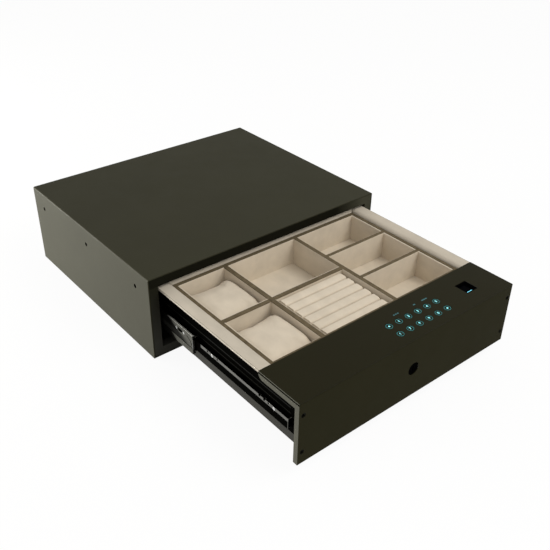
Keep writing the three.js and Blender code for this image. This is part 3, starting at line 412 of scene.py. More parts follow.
def dressed(node, edge, looks, shortest=3.0, segments=2, pick=None, cuts=()):
    """Stands for a CAD node: its own shape with its longer sharp edges rounded by edge millimetres.
    The second of the looks, if there is one, shows on the rounded edges, and pick names one for any other
    face. cuts are planes at which the faces are divided, so that the look can change there."""
    bm = node_bmesh(node)
    if edge > 0:
        between = [e for e in bm.edges if len(e.link_faces) == 2]
        chosen = [e for e in between if e.calc_face_angle(0.0) > SHARP and e.calc_length() > shortest * MM]
        settings = dict(BEVEL, segments=segments, clamp_overlap=True)
        shown = ROUNDED if len(looks) > 1 else -1
        bmesh.ops.bevel(bm, geom=chosen, offset=edge * MM, material=shown, **settings)
    for place, way in cuts:
        parts = list(bm.verts) + list(bm.edges) + list(bm.faces)
        bmesh.ops.bisect_plane(bm, geom=parts, plane_co=place, plane_no=way)
    if pick:
        bm.normal_update()
        for face in bm.faces:
            look = pick(face)
            if look:
                face.material_index = looks.index(look)
    return flat_shading(built(node + "_finish", bm, node, looks, replaces=(node,)))


def shown_copy(thing):
    """The mesh of an object as its modifiers leave it."""
    graph = bpy.context.evaluated_depsgraph_get()
    return bpy.data.meshes.new_from_object(thing.evaluated_get(graph), depsgraph=graph)


def cut_away(thing, bm, look):
    """Cuts the solid in bm away from an object. The new faces take the look, one of the object's own."""
    index = list(thing.data.materials).index(LOOKS[look])
    for face in bm.faces:
        face.material_index = index
    bmesh.ops.recalc_face_normals(bm, faces=bm.faces)
    mesh = bpy.data.meshes.new("cutter")
    bm.to_mesh(mesh)
    bm.free()
    for held in thing.data.materials:
        mesh.materials.append(held)
    tool = bpy.data.objects.new("cutter", mesh)
    scene.collection.objects.link(tool)
    carve = thing.modifiers.new("carve", "BOOLEAN")
    carve.operation = "DIFFERENCE"
    carve.solver = "EXACT"
    carve.object = tool
    thing.modifiers.move(len(thing.modifiers) - 1, 0)
    for other in thing.modifiers:
        other.show_viewport = other == carve
    carved = shown_copy(thing)
    thing.modifiers.remove(carve)
    for other in thing.modifiers:
        other.show_viewport = True
    thing.data = carved
    bpy.data.objects.remove(tool)


def add_loft(bm, rings, joined=False, look=0):
    """Adds the skin through closed rings of points. Its two ends are capped, or joined to each other."""
    made = [[bm.verts.new(p) for p in ring] for ring in rings]
    count = len(made[0])
    faces = []
    for low, high in zip(made, made[1:] + (made[:1] if joined else [])):
        for i in range(count):
            j = (i + 1) % count
            faces.append(bm.faces.new((low[i], low[j], high[j], high[i])))
    if not joined:
        faces.append(bm.faces.new(made[0][::-1]))
        faces.append(bm.faces.new(made[-1]))
    for face in faces:
        face.material_index = look
    return made


def circle(centre, axis, radius, height, steps):
    """Points round an axis through the centre, with the radius and the height along it in millimetres."""
    turn = AXES["Z"].rotation_difference(Vector(axis)).to_matrix()
    points = []
    for i in range(steps):
        angle = 2 * math.pi * i / steps
        spot = Vector((radius * math.cos(angle), radius * math.sin(angle), height)) * MM
        points.append(Vector(centre) + turn @ spot)
    return points


def add_tube(bm, centre, axis, radii, heights, steps=32, joined=False, look=0):
    """Adds a turned solid: circles of the given radii at the given heights along the axis."""
    circles = [circle(centre, axis, radius, height, steps) for radius, height in zip(radii, heights)]
    add_loft(bm, circles, joined, look)


def add_block(bm, low, high, edge=0.0, look=0):
    """Adds a block between two corners in metres, its edges rounded by edge millimetres."""
    made = bmesh.ops.create_cube(bm, size=1.0)["verts"]
    low, high = Vector(low), Vector(high)
    for vert in made:
        vert.co = Vector(low[i] + (vert.co[i] + 0.5) * (high[i] - low[i]) for i in range(3))
    for face in {f for vert in made for f in vert.link_faces}:
        face.material_index = look
    if edge > 0:
        edges = {e for vert in made for e in vert.link_edges}
        bmesh.ops.bevel(bm, geom=list(edges), offset=edge * MM, segments=2, **BEVEL)


# ---- case

OUTER_EDGE = 0.5
SIDE_HOLES = (-0.1335, 0.0015, 0.1365)
HOLE_HEIGHT = 0.0995
HOLE_REACH = 0.0025
SINK_RADII = (2.2, 3.1)
SINK_HEIGHTS = (-0.8, 0.1)


def wrap_look(face):
    """Painted light on the sides, a lighter tone of the coat, and black painted shade in their screw holes.
    """
    if face.material_index == ROUNDED:
        return None
    if abs(face.normal.x) > 0.98:
        return "coat_side"
    middle = face.calc_center_median()
    in_hole = abs(middle.x) > 0.19 and abs(middle.z - HOLE_HEIGHT) < HOLE_REACH
    return "inner_coat" if in_hole else None


def dress_wrap():
    """The folded sheet, with a sink round each screw hole in its sides, painted black as shade."""
    looks = ["coat", "coat_edge", "coat_side", "inner_coat"]
    wrap = dressed("case_wrap", OUTER_EDGE, looks, 8.0, pick=wrap_look)
    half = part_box("case_wrap")[1].x
    bm = bmesh.new()
    for side in (-1, 1):
        for hole in SIDE_HOLES:
            add_tube(bm, (side * half, hole, HOLE_HEIGHT), (side, 0, 0), SINK_RADII, SINK_HEIGHTS)
    cut_away(wrap, bm, "inner_coat")


FRAME_TOP_BAR = 0.1105
FRAME_RIGHT_BAR = 0.184


def frame_look(face):
    """Black painted shade behind, and in front painted shade: one gradient for the upper and right-hand bars
    and one for the other two.
    """
    middle = face.calc_center_median()
    if face.normal.y > 0.5:
        return "inner_coat"
    if face.normal.y < -0.5:
        return "frame_top" if middle.z > FRAME_TOP_BAR or middle.x > FRAME_RIGHT_BAR else "frame_left"
    return "frame_left" if face.normal.z > 0.5 else None


dress_wrap()
# The frame's other faces take the console's darker coat, painted shade on this part of the case.
looks = ["console_coat", "console_edge", "inner_coat", "frame_top", "frame_left"]
cuts = (plane("Z", FRAME_TOP_BAR), plane("X", FRAME_RIGHT_BAR))
dressed("front_frame", 0.5, looks, 6.0, pick=frame_look, cuts=cuts)
dressed("base_plate", 0.3, ["coat"])
dressed("back_plate", 0.3, ["coat_back"])

# ---- slides

# The member's bands: the lip below LIP_TO, a black line of painted shade up to LINE_TO and a band of painted
# shade on the web up to GROOVE_TO; FLANGE_LIGHT_FROM bounds the painted highlight on the flange.
LIP_TO, LINE_TO, GROOVE_TO = 0.0470, 0.0484, 0.0562
LINE_INSET = 0.004
LINE_DEEP = 0.0004
FLANGE_LIGHT_FROM = 0.1773
MEMBER_RIVETS = ((-0.1965, 0.0601), (-0.2132, 0.0609))
MEMBER_SLOT = (-0.2104, -0.1996, 0.0582, 0.0634)
SLOT_DEEP = 0.0009
ARC = ((-0.2200, 0.0610), (-0.2240, 0.0600), (-0.2272, 0.0577), (-0.2296, 0.0547), (-0.2310, 0.0515))
ARC_END = (-0.2316, 0.0503)
ARC_HALF = 0.0006
ARC_DEEP = 0.0007
STOP_DEEP = 0.0028
STOP_TOP = 0.0600
RAIL_SPOTS = (-0.2706, -0.3907)
RAIL_SPOT_HEIGHT = 0.0585
RAIL_HOLES = (-0.2606, -0.2812, -0.3722, -0.3803)
RAIL_HOLE_DROP = 0.0016
RAIL_CORNER = 0.1758
# Painted highlight on the rail above RAIL_LIGHT_FROM and in front of RAIL_LIT_TO, and on its end in front of
# RAIL_END; behind RAIL_LIT_TO the member's shadow is painted in black.
RAIL_LIGHT_FROM = 0.0566
RAIL_LIT_TO = -0.2460
RAIL_END = -0.4143


def member_look(face):
    """Painted highlight on the upper flange's outer strip, black painted shade on its rest and in the line
    between web and lip, and a band of painted shade on the web above that line.
    """
    middle = face.calc_center_median()
    if face.normal.z > 0.3:
        return "flange" if abs(middle.x) > FLANGE_LIGHT_FROM else "zinc"
    if abs(face.normal.x) > 0.5 and middle.z < GROOVE_TO:
        return "lip" if middle.z < LIP_TO else "zinc" if middle.z < LINE_TO else "groove"
    return None


def rail_look(face):
    """Painted highlight on the rail's rolled upper corner in front of the member and on its front end; behind
    it the corner stays black, painted shadow of the member.
    """
    middle = face.calc_center_median()
    at_end = middle.y < RAIL_END
    if face.normal.z > 0.3:
        lit = at_end or abs(middle.x) > RAIL_CORNER and middle.y < RAIL_LIT_TO
        return "rail_light" if lit else "zinc"
    if abs(face.normal.x) > 0.5 and middle.z > RAIL_LIGHT_FROM and middle.y < RAIL_LIT_TO:
        return "rail_light"
    return "track" if abs(face.normal.x) > 0.5 and at_end else None


def add_slot(bm, x, depth, y0, y1, z0, z1):
    """Adds a cutter with round ends through a face at x."""
    radius = (z1 - z0) / 2
    outline = []
    for centre, start in ((y1 - radius, -math.pi / 2), (y0 + radius, math.pi / 2)):
        for i in range(9):
            turn = start + math.pi * i / 8
            outline.append((centre + radius * math.cos(turn), (z0 + z1) / 2 + radius * math.sin(turn)))
    add_loft(bm, [[Vector((x + away, y, z)) for y, z in outline] for away in (-depth, depth)])


def add_arc(bm, x):
    """Adds the cutter for the curved line in front of the member's slot."""
    out = Vector((ARC_DEEP, 0, 0))
    rings = []
    for (y, z), (next_y, next_z) in zip(ARC, ARC[1:] + (ARC_END,)):
        across = Vector((0, z - next_z, next_y - y)).normalized() * ARC_HALF
        spot = Vector((x, y, z))
        rings.append([spot - out - across, spot + out - across, spot + out + across, spot - out + across])
    add_loft(bm, rings)


def outer_face(node, sign):
    """The node's corners, and the place of its face away from the middle of the safe."""
    low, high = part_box(node)
    return low, high, high.x if sign > 0 else low.x


def member_fittings(member, side, sign):
    """The member's slot and lines, its rivets and the stop at its front end."""
    node = side + "_middle_member"
    low, high, face = outer_face(node, sign)
    bm = bmesh.new()
    add_slot(bm, face, SLOT_DEEP, *MEMBER_SLOT)
    start, end = low.y + LINE_INSET, high.y - LINE_INSET
    add_block(bm, (face - LINE_DEEP, start, LIP_TO), (face + LINE_DEEP, end, LINE_TO))
    add_arc(bm, face)
    # The cut faces take black zinc: painted shade in the slot, the line and the arc.
    cut_away(member, bm, "zinc")
    bm = bmesh.new()
    for y, z in MEMBER_RIVETS:
        add_tube(bm, (face, y, z), (sign, 0, 0), (1.9, 1.9, 1.5, 0.7), (-0.2, 0.15, 0.3, 0.34), 20)
    near, far = sorted((face, face - sign * STOP_DEEP))
    add_block(bm, (near, low.y - 0.0001, LIP_TO), (far, low.y + 0.0007, STOP_TOP), 0.2, 1)
    built(side + "_member_rivets", bm, node, ["screw", "track"])


def rail_fittings(rail, side, sign):
    """The rail's holes and the screws that hold it to the drawer."""
    node = side + "_drawer_rail"
    low, high, face = outer_face(node, sign)
    bm = bmesh.new()
    for y in RAIL_HOLES:
        add_tube(bm, (face, y, high.z - RAIL_HOLE_DROP), (sign, 0, 0), (1.4, 1.4), (-1.6, 1.0), 16)
    cut_away(rail, bm, "zinc")
    bm = bmesh.new()
    for y in RAIL_SPOTS:
        spot = (face, y, RAIL_SPOT_HEIGHT)
        add_tube(bm, spot, (sign, 0, 0), (2.3, 2.3, 1.7, 0.8), (-0.3, 0.25, 0.5, 0.6), 28)
    built(side + "_rail_screws", bm, node, ["screw"])


for side, sign in (("left", -1), ("right", 1)):
    dressed(side + "_slide_bracket", 0.3, ["inner_coat"])
    dressed(side + "_outer_member", 0.3, ["zinc", "track"], 8.0, 1)
    looks = ["member", "track", "zinc", "lip", "flange", "groove"]
    cuts = [plane("Z", height) for height in (LIP_TO, LINE_TO, GROOVE_TO)]
    cuts.append(plane("X", sign * FLANGE_LIGHT_FROM))
    member = dressed(side + "_middle_member", 0.3, looks, 8.0, 1, member_look, cuts)
    looks = ["zinc", "track", "rail_light"]
    cuts = (plane("Z", RAIL_LIGHT_FROM), plane("Y", RAIL_LIT_TO), plane("Y", RAIL_END))
    rail = dressed(side + "_drawer_rail", 0.2, looks, 6.0, 1, rail_look, cuts)
    member_fittings(member, side, sign)
    rail_fittings(rail, side, sign)

# ---- drawer and console

SILL = 0.0365


# Painted shade: the drawer's wall is black above SILL, and the lit strip below it keeps its coat.
def pan_look(face):
    return "sill_coat" if face.calc_center_median().z < SILL else "inner_coat"


dressed("drawer_pan", 0.3, ["inner_coat", "sill_coat"], 10.0, 1, pan_look, (plane("Z", SILL),))
dressed("drawer_back", 0.3, ["inner_coat"])

BEAD_HEIGHTS = (0.0640, 0.0721)
BEAD_RUN = (-0.4130, -0.1500)
BEAD_TAPER = 0.002
BEAD_TIP = 0.3
BEAD_HALF = 0.0006
BEAD_PROUD = 0.0005
BEAD_SUNK = 0.0001
RAIL_TO_WALL = 0.0003


def wall_beads():
    """Two thin stiffening beads pressed out of each side of the drawer above its rail."""
    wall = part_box("left_drawer_rail")[1].x + RAIL_TO_WALL
    front, back = BEAD_RUN
    stations = ((front, BEAD_TIP), (front + BEAD_TAPER, 1), (back - BEAD_TAPER, 1), (back, BEAD_TIP))
    bm = bmesh.new()
    for sign in (-1, 1):
        for z in BEAD_HEIGHTS:
            rings = []
            for y, share in stations:
                ring = []
                for i in range(7):
                    turn = math.pi * i / 6
                    away = BEAD_PROUD * share * math.sin(turn) - BEAD_SUNK
                    ring.append(Vector((sign * (wall + away), y, z - BEAD_HALF * math.cos(turn) * share)))
                rings.append(ring)
            add_loft(bm, rings)
    built("drawer_wall_beads", bm, "drawer_pan", ["bead"])


wall_beads()
SEAM_FROM = 0.1025


def shell_look(face):
    """Painted light on the paler side, and black painted shade in the seam below the deck and on the
    right-hand corner.
    """
    if abs(face.normal.x) > 0.3 and face.calc_center_median().z > SEAM_FROM:
        return "inner_coat"
    if abs(face.normal.x) > 0.9:
        return "console_side"
    return "console_rim" if face.normal.x > 0.2 and face.normal.y < -0.2 else None


# Painted light: the deck's sides take the console's paler side tone.
def deck_look(face):
    return "console_side" if abs(face.normal.x) > 0.5 else None


looks = ["console_coat", "console_edge", "console_side", "console_rim", "inner_coat"]
dressed("front_shell", 0.5, looks, 8.0, pick=shell_look, cuts=(plane("Z", SEAM_FROM),))
dressed("deck_cover", 0.35, ["deck", "deck_edge", "console_side"], 12.0, pick=deck_look)
dressed("console_rear_plate", 0.2, ["inner_coat"])
dressed("battery_cover", 0.3, ["plastic"])

# radius and depth, in millimetres, along each turned outline
FACE_SCREW = ((1.3, 7.0), (1.3, 1.25), (2.45, 1.2), (2.45, 0.95), (2.0, 0.65), (1.25, 0.6), (1.15, 1.15))
FACE_SCREW_RIM = ((3.15, 0.05), (3.15, -0.06), (3.0, -0.09), (2.62, 0.0), (2.6, 0.5), (2.7, 0.5))


def face_screw(node):
    """A black pan head screw with a socket, sunk in its hole, and the hole's rolled rim."""
    low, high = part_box(node)
    centre = ((low.x + high.x) / 2, low.y, (low.z + high.z) / 2)
    bm = bmesh.new()
    for outline, joined in ((FACE_SCREW, False), (FACE_SCREW_RIM, True)):
        radii, depths = zip(*outline)
        add_tube(bm, centre, (0, -1, 0), radii, [-deep for deep in depths], 28, joined, int(joined))
    built(node + "_finish", bm, node, ["black_screw", "screw_rim"], replaces=(node,))


for spot in ("left_lower", "left_upper", "right_lower", "right_upper"):
    face_screw(spot + "_face_screw")
dressed("fingerprint_frame", 0.3, ["plastic"], 2.0)
dressed("fingerprint_sensor", 0.3, ["glass"], 2.0)

BAR_LONG = 0.0095
BAR_LEFT = 0.0016
BAR_PROUD = 0.0006


def light_bar():
    """The lit bar along the front of the reader's recess."""
    low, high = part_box("fingerprint_light")
    middle = (low.x + high.x) / 2 - BAR_LEFT
    half = BAR_LONG / 2
    bm = bmesh.new()
    add_block(bm, (middle - half, low.y, low.z), (middle + half, high.y, high.z + BAR_PROUD), 0.45)
    node = "fingerprint_light"
    built(node + "_bar", bm, node, ["cyan_bar"], (node,))


light_bar()
dressed("key_cylinder", 0.2, ["lock_black"], 2.0)
dressed("key_plug", 0.0, ["lock_black"])

# ---- keypad

KEY_FROM = -0.0105
KEY_PITCH = 0.017
KEY_ROWS = (-0.4051, -0.4235)
KEY_FLOOR = 0.1056
KEY_SIGNS = (("dot", "1", "2", "3", "4", "5"), ("6", "7", "8", "9", "0", "dot"))
RING_RADII = (4.05, 4.4, 4.4, 4.05)
RING_HEIGHTS = (0, 0, 0.12, 0.12)
DOT_RADII = (1.25, 1.25, 1.05)
DOT_HEIGHTS = (0.0, 0.12, 0.18)
FIGURE_SIZE = 0.0050
FIGURE_RAISE = 0.00006
FIGURE_BOLD = 0.00012
FIGURE_LIFT = 0.00011
MARK_Y = -0.3931
MARKS = ((0.0104, 3, 0.0023), (0.0469, 1, 0.0034), (0.0622, 3, 0.0030))
MARK_DEEP = 0.0018
MARK_STEP = 0.0034
MARK_RAISE = 0.0001


def key_places():
    for signs, y in zip(KEY_SIGNS, KEY_ROWS):
        for i, sign in enumerate(signs):
            yield sign, Vector((KEY_FROM + i * KEY_PITCH, y, KEY_FLOOR))


def add_figure(bm, sign, spot):
    """Adds a raised figure in the middle of a key."""
    data = bpy.data.curves.new("figure", "FONT")
    data.body = sign
    data.size = FIGURE_SIZE
    data.align_x = data.align_y = "CENTER"
    data.extrude = FIGURE_RAISE
    data.offset = FIGURE_BOLD
    maker = bpy.data.objects.new("figure", data)
    scene.collection.objects.link(maker)
    maker.location = spot + Vector((0, 0, FIGURE_LIFT))
    bpy.context.view_layer.update()
    mesh = shown_copy(maker)
    mesh.transform(maker.matrix_world)
    bm.from_mesh(mesh)
    bpy.data.objects.remove(maker)
    bpy.data.meshes.remove(mesh)


def add_keypad():
    rings, marks, dots, figures = bmesh.new(), bmesh.new(), bmesh.new(), bmesh.new()
    up = AXES["Z"]
    for sign, spot in key_places():
        add_tube(rings, spot, up, RING_RADII, RING_HEIGHTS, 40, True)
        if sign == "dot":
            add_tube(dots, spot, up, DOT_RADII, DOT_HEIGHTS, 20)
        else:
            add_figure(figures, sign, spot)
    bmesh.ops.remove_doubles(figures, verts=figures.verts, dist=1e-6)
    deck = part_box("deck_cover")[1].z
    for start, count, wide in MARKS:
        for i in range(count):
            x = start + i * MARK_STEP
            low = (x - wide / 2, MARK_Y - MARK_DEEP / 2, deck)
            add_block(marks, low, (x + wide / 2, MARK_Y + MARK_DEEP / 2, deck + MARK_RAISE))
    for name, bm, look in (
        ("rings", rings, "cyan_ring"),
        ("figures", figures, "cyan"),
        ("dots", dots, "cyan"),
        ("marks", marks, "cyan_dim"),
    ):
        built("keypad_" + name, bm, "deck_cover", [look])


add_keypad()

# ---- tray boards

LINING = 0.35
LINING_PROUD = 0.3
LINING_DROP = 0.3
TROUGH = 1.2
TRIM_REACH = 0.7
TRIM_ROUND = 0.35
STRIP_GAP = 0.05


def add_bar(bm, profile, along, start, end, look=0):
    """Adds a bar with the profile (across, height) in metres, along X or Y from start to end."""
    rings = []
    for place in (start, end):
        rings.append([Vector((place, u, z)) if along == 0 else Vector((u, place, z)) for u, z in profile])
    add_loft(bm, rings, look=look)


def lined_board(node, reach=(TRIM_REACH,) * 2, skins=(LINING,) * 2, over=(0.0, 0.0), proud=LINING_PROUD):
    """A tray board: velvet on both faces with a rounded upper edge, and a grained strip on top between them.
    The pairs give, for the low and the high side, how far the strip runs on along the board, how thick the
    velvet stands beside the strip, and how far the strip hangs over it."""
    low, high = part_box(node)
    along = 0 if high.x - low.x > high.y - low.y else 1
    across = 1 - along
    middle = (low[across] + high[across]) / 2
    half = (high[across] - low[across]) / 2 + proud * MM
    top = high.z
    dip = top - LINING_DROP * MM
    profile, cap = [], []
    for sign, skin, hang in ((1, skins[1] * MM, over[1] * MM), (-1, skins[0] * MM, over[0] * MM)):
        side = [(half, low.z)]
        for i in range(6):
            angle = math.pi * i / 5
            u, z = skin / 2 * math.cos(angle), skin / 2 * math.sin(angle)
            side.append((half - skin / 2 + u, dip - skin / 2 + z))
        side.append((half - skin, top - TROUGH * MM))
        strip = half - skin - STRIP_GAP * MM + hang
        turn = TRIM_ROUND * MM
        edge = [(strip, top - TROUGH * MM)]
        for i in range(5):
            angle = math.pi / 2 * i / 4
            edge.append((strip - turn + turn * math.cos(angle), top - turn + turn * math.sin(angle)))
        for outline, points in ((profile, side), (cap, edge)):
            outline += [(middle + sign * u, z) for u, z in points[::sign]]
    bm = bmesh.new()
    add_bar(bm, profile, along, low[along], high[along])
    add_bar(bm, cap, along, low[along] - reach[0] * MM, high[along] + reach[1] * MM, 1)
    flat_shading(built(node + "_lined", bm, node, ["velvet", "trim"], replaces=(node,)))


LEFT_MEET = 2.0
RIGHT_MEET = 2.8
MEET = (LEFT_MEET, RIGHT_MEET)
SIDE_REACH = (0.0, 1.2)
WIDE_PROUD = 0.8
lined_board("tray_front_wall", MEET)
lined_board("tray_back_wall", MEET, (0.9, LINING), (0.0, 1.5))
lined_board("tray_left_wall", SIDE_REACH, (LINING, 1.7), (2.9, 0.0))
lined_board("tray_right_wall", SIDE_REACH, (2.4, LINING), (0.0, 1.9))
lined_board("tray_left_divider", skins=(LINING, 0.8), over=(0.6, 0.0))
lined_board("tray_right_divider")
lined_board("tray_left_cross_wall", (LEFT_MEET, TRIM_REACH), (LINING, 1.4), (0.9, 0.0), WIDE_PROUD)
lined_board("tray_middle_cross_wall", skins=(LINING, 1.1), over=(0.8, 0.0), proud=WIDE_PROUD)
for number in "12":
    lined_board("tray_right_cross_wall_" + number, (TRIM_REACH, RIGHT_MEET))
dressed("tray_floor", 0.3, ["velvet"])

# ---- soft pieces

PUFF_VOXEL = 2.6
PUFF_PRESSURE = 3.0
PUFF_CAP = 2.0
CLOTH_FRAMES = 20


def puffed(name, start):
    """Remeshes a closed start shape evenly and lets cloth under inner pressure swell it."""
    thing = bpy.data.objects.new(name + "_start", start)
    scene.collection.objects.link(thing)
    remesh = thing.modifiers.new("remesh", "REMESH")
    remesh.mode = "VOXEL"
    remesh.voxel_size = PUFF_VOXEL * MM
    mesh = shown_copy(thing)
    thing.modifiers.remove(remesh)
    thing.data = mesh
    before = [v.co.copy() for v in mesh.vertices]
    cloth = thing.modifiers.new("cloth", "CLOTH")
    cloth.settings.quality = 6
    cloth.settings.mass = 0.2
    cloth.settings.use_pressure = True
    cloth.settings.uniform_pressure_force = PUFF_PRESSURE
    cloth.settings.effector_weights.gravity = 0
    cloth.point_cache.frame_start = 1
    cloth.point_cache.frame_end = CLOTH_FRAMES
    for step in range(1, CLOTH_FRAMES + 1):
        scene.frame_set(step)
    mesh = shown_copy(thing)
    thing.modifiers.remove(cloth)
    scene.frame_set(1)
    for vert, old in zip(mesh.vertices, before):
        move = vert.co - old
        if move.length > PUFF_CAP * MM:
            vert.co = old + move * (PUFF_CAP * MM / move.length)
    bpy.data.objects.remove(thing)
    return mesh


def divided(mesh):
    """The mesh smoothed and divided once."""
    thing = bpy.data.objects.new("dividing", mesh)
    scene.collection.objects.link(thing)
    round_off = thing.modifiers.new("round", "SUBSURF")
    round_off.levels = round_off.render_levels = 1
    finer = shown_copy(thing)
    bpy.data.objects.remove(thing)
    return finer


PILLOW_EASE = 0.002


def eased(value, low, high):
    """Holds a value inside low and high, easing into the limit."""
    if value > high - PILLOW_EASE:
        return high + PILLOW_EASE * (math.tanh((value - high) / PILLOW_EASE + 1) - 1)
    if value < low + PILLOW_EASE:
        return low - PILLOW_EASE * (math.tanh((low - value) / PILLOW_EASE + 1) - 1)
    return value


FOLD_CORNER = 0.47
FOLD_LONG, LONG_SPREAD = 13, 9
FOLD_DEEP, DEEP_SPREAD = 0.9, 0.7
FOLD_WIDE = 0.0017


def pillow_folds(low, high, seed):
    """Short creases running in from the corners: where each starts, its direction, length and depth."""
    folds = []
    middle = (low + high) / 2
    reach = (high - low) * FOLD_CORNER
    for k, (sx, sy) in enumerate(((-1, -1), (1, -1), (1, 1), (-1, 1))):
        corner = Vector((middle.x + sx * reach.x, middle.y + sy * reach.y))
        for m in range(3):
            chance = noise.noise(Vector((seed + 3.1 * k, 1.7 * m, 0.4)))
            turn = math.atan2(-sy, -sx) + (m - 1) * 0.5 + 0.35 * chance
            long = (FOLD_LONG + LONG_SPREAD * noise.noise(Vector((seed, 2.3 * k, 5.1 * m)))) * MM
            deep = FOLD_DEEP + DEEP_SPREAD * noise.noise(Vector((1.9 * k, seed, 4.3 * m)))
            folds.append((corner, Vector((math.cos(turn), math.sin(turn))), long, deep))
    return folds


def fold_depth(p, folds):
    """How deep the creases lie below a point, in millimetres."""
    deepest = 0.0
    for start, way, long, deep in folds:
        away = Vector((p.x, p.y)) - start
        run = away.dot(way)
        if not 0 < run < long:
            continue
        aside = (away - way * run).length
        taper = math.sin(math.pi * run / long) ** 0.7
        deepest = max(deepest, deep * taper * math.exp(-((aside / FOLD_WIDE) ** 2)))
    return deepest


PILLOW_FIT = (0.995, 0.985, 0.975)
PILLOW_FOOT = 0.0006
PILLOW_LIFT = 0.1
LIFT_FROM = 0.3
LIFT_OVER = 0.55
RIGHT_FULLNESS = 0.36
END_FULLNESS = 0.9
PILLOW_PROUD = 8.0
WAVE, WAVE_PITCH = 0.5, 70
RIPPLE, RIPPLE_PITCH = 0.35, 190
GATHER_IN = 0.0045
GATHER_PITCH = 0.0062
GATHER_WIDE = 0.0013
SEAM_AT = 0.36
SEAM_WIDE = 0.0011
GATHER_DEEP = SEAM_DEEP = 0.7


def fuller(value, power):
    """Raises a share to a power and keeps its sign."""
    return math.copysign(abs(value) ** power, value)


def fuller_start(node):
    """The node's solid, fuller at its ends and on its right, where it also rises."""
    low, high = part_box(node)
    middle, half = (low + high) / 2, (high - low) / 2
    start = NODES[node].data.copy()
    for vert in start.vertices:
        aside = (vert.co.x - middle.x) / half.x
        along = (vert.co.y - middle.y) / half.y
        aside = fuller(aside, RIGHT_FULLNESS if aside > 0 else 1.0)
        vert.co.x = middle.x + aside * half.x * PILLOW_FIT[0]
        vert.co.y = middle.y + fuller(along, END_FULLNESS) * half.y * PILLOW_FIT[1]
        right = min(1.0, max(0.0, (aside - LIFT_FROM) / LIFT_OVER))
        taller = PILLOW_FIT[2] + PILLOW_LIFT * right * right * (3 - 2 * right)
        vert.co.z = low.z + PILLOW_FOOT + (vert.co.z - low.z) * taller
    return start


def watch_pillow(node, seed):
    """A square pillow with full sides, soft corners, shallow wrinkles and a seam round its lower half."""
    low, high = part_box(node)
    middle = (low + high) / 2
    mesh = divided(puffed(node, fuller_start(node)))
    folds = pillow_folds(low, high, seed)
    seam_height = low.z + SEAM_AT * (high.z - low.z)
    for vert in mesh.vertices:
        p = vert.co
        out = Vector((p.x - middle.x, p.y - middle.y, 0))
        corner = min(1.0, abs(out.x) / (high.x - middle.x)) * min(1.0, abs(out.y) / (high.y - middle.y))
        wave = noise.noise(p * WAVE_PITCH + Vector((seed, 0, 0)))
        ripple = noise.noise(p * RIPPLE_PITCH + Vector((0, seed, 0)))
        p.z += (WAVE * wave + RIPPLE * ripple * corner) * MM
        if p.z > middle.z:
            p.z -= fold_depth(p, folds) * MM
            gather = 0.55 + 0.45 * math.sin(p.y * 2 * math.pi / GATHER_PITCH + seed)
            for edge in (low.x + GATHER_IN, high.x - GATHER_IN):
                p.z -= GATHER_DEEP * gather * math.exp(-(((p.x - edge) / GATHER_WIDE) ** 2)) * MM
        seam = math.exp(-(((p.z - seam_height) / SEAM_WIDE) ** 2))
        p -= out.normalized() * seam * SEAM_DEEP * MM
        p.x = eased(p.x, low.x, high.x)
        p.y = eased(p.y, low.y, high.y)
        p.z = max(low.z, eased(p.z, low.z - 0.01, high.z + PILLOW_PROUD * MM))
    for face in mesh.polygons:
        face.use_smooth = True
    thing = piece(node + "_cover", mesh, BODY_OF[node], ["velvet"], (node,))


watch_pillow("front_watch_pillow", 3.1)
watch_pillow("rear_watch_pillow", 8.7)

ROLL_COUNT = 6
ROLL_GAP = 0.4
ROLL_SHORT = 1.0
ROLL_FOOT = 14.2
ROLL_SUNK = 1.0
ROLL_PROUD = 2.2
ROLL_ENDS = (1.6, 3.5)
ROLL_SQUARE = 0.46
ROLL_STEPS = 44
ROLL_SIDES = 22


def ring_rolls():
    """Foam rolls side by side on a board, each a soft loaf with a flat crown and drooping ends."""
    low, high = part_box("ring_pad")
    low.y += LINING_PROUD * MM
    high.y -= LINING_PROUD * MM
    high.z += ROLL_PROUD * MM
    pitch = (high.y - low.y) / ROLL_COUNT
    half = pitch / 2 - ROLL_GAP * MM
    bm = bmesh.new()
    add_block(bm, low, (high.x, high.y, high.z - ROLL_FOOT * MM), 0.8)
    start, end = low.x + ROLL_SHORT * MM, high.x - ROLL_SHORT * MM
    tall = ROLL_FOOT + ROLL_SUNK
    foot = high.z - tall * MM
    for i in range(ROLL_COUNT):
        centre = low.y + (i + 0.5) * pitch
        rings = []
        for k in range(ROLL_STEPS + 1):
            x = start + (end - start) * k / ROLL_STEPS
            close = min(1.0, (x - start) / (ROLL_ENDS[0] * MM), (end - x) / (ROLL_ENDS[1] * MM))
            swell = 0.05 + 0.95 * math.sqrt(max(0.0, 1 - (1 - close) ** 2))
            lift = 0.5 * noise.noise(Vector((x * 45, centre * 90, 2.0)))
            crown = foot + (tall - 0.45 + 0.4 * lift) * MM * (0.35 + 0.65 * swell)
            width = half * (0.80 + 0.20 * swell)
            ring = []
            for m in range(ROLL_SIDES):
                angle = 2 * math.pi * m / ROLL_SIDES
                z = (crown + foot) / 2 + fuller(math.sin(angle), ROLL_SQUARE) * (crown - foot) / 2
                ring.append(Vector((x, centre + fuller(math.cos(angle), ROLL_SQUARE) * width, z)))
            rings.append(ring)
        add_loft(bm, rings)
    thing = built("ring_pad_rolls", bm, "ring_pad", ["velvet"], ("ring_pad",), math.radians(60))


ring_rolls()

SIDE_EDGE_WIDTH = 20.2
REAR_EDGE_WIDTH = 21.0
EDGE_ROUND = 1.2
EDGE_ROLL = 5.5
EDGE_HANG = 8.0
EDGE_SHEET = 2.8
EDGE_INNER_FROM = 15.5
EDGE_STEP = 3.0
EDGE_CROWN = 0.35


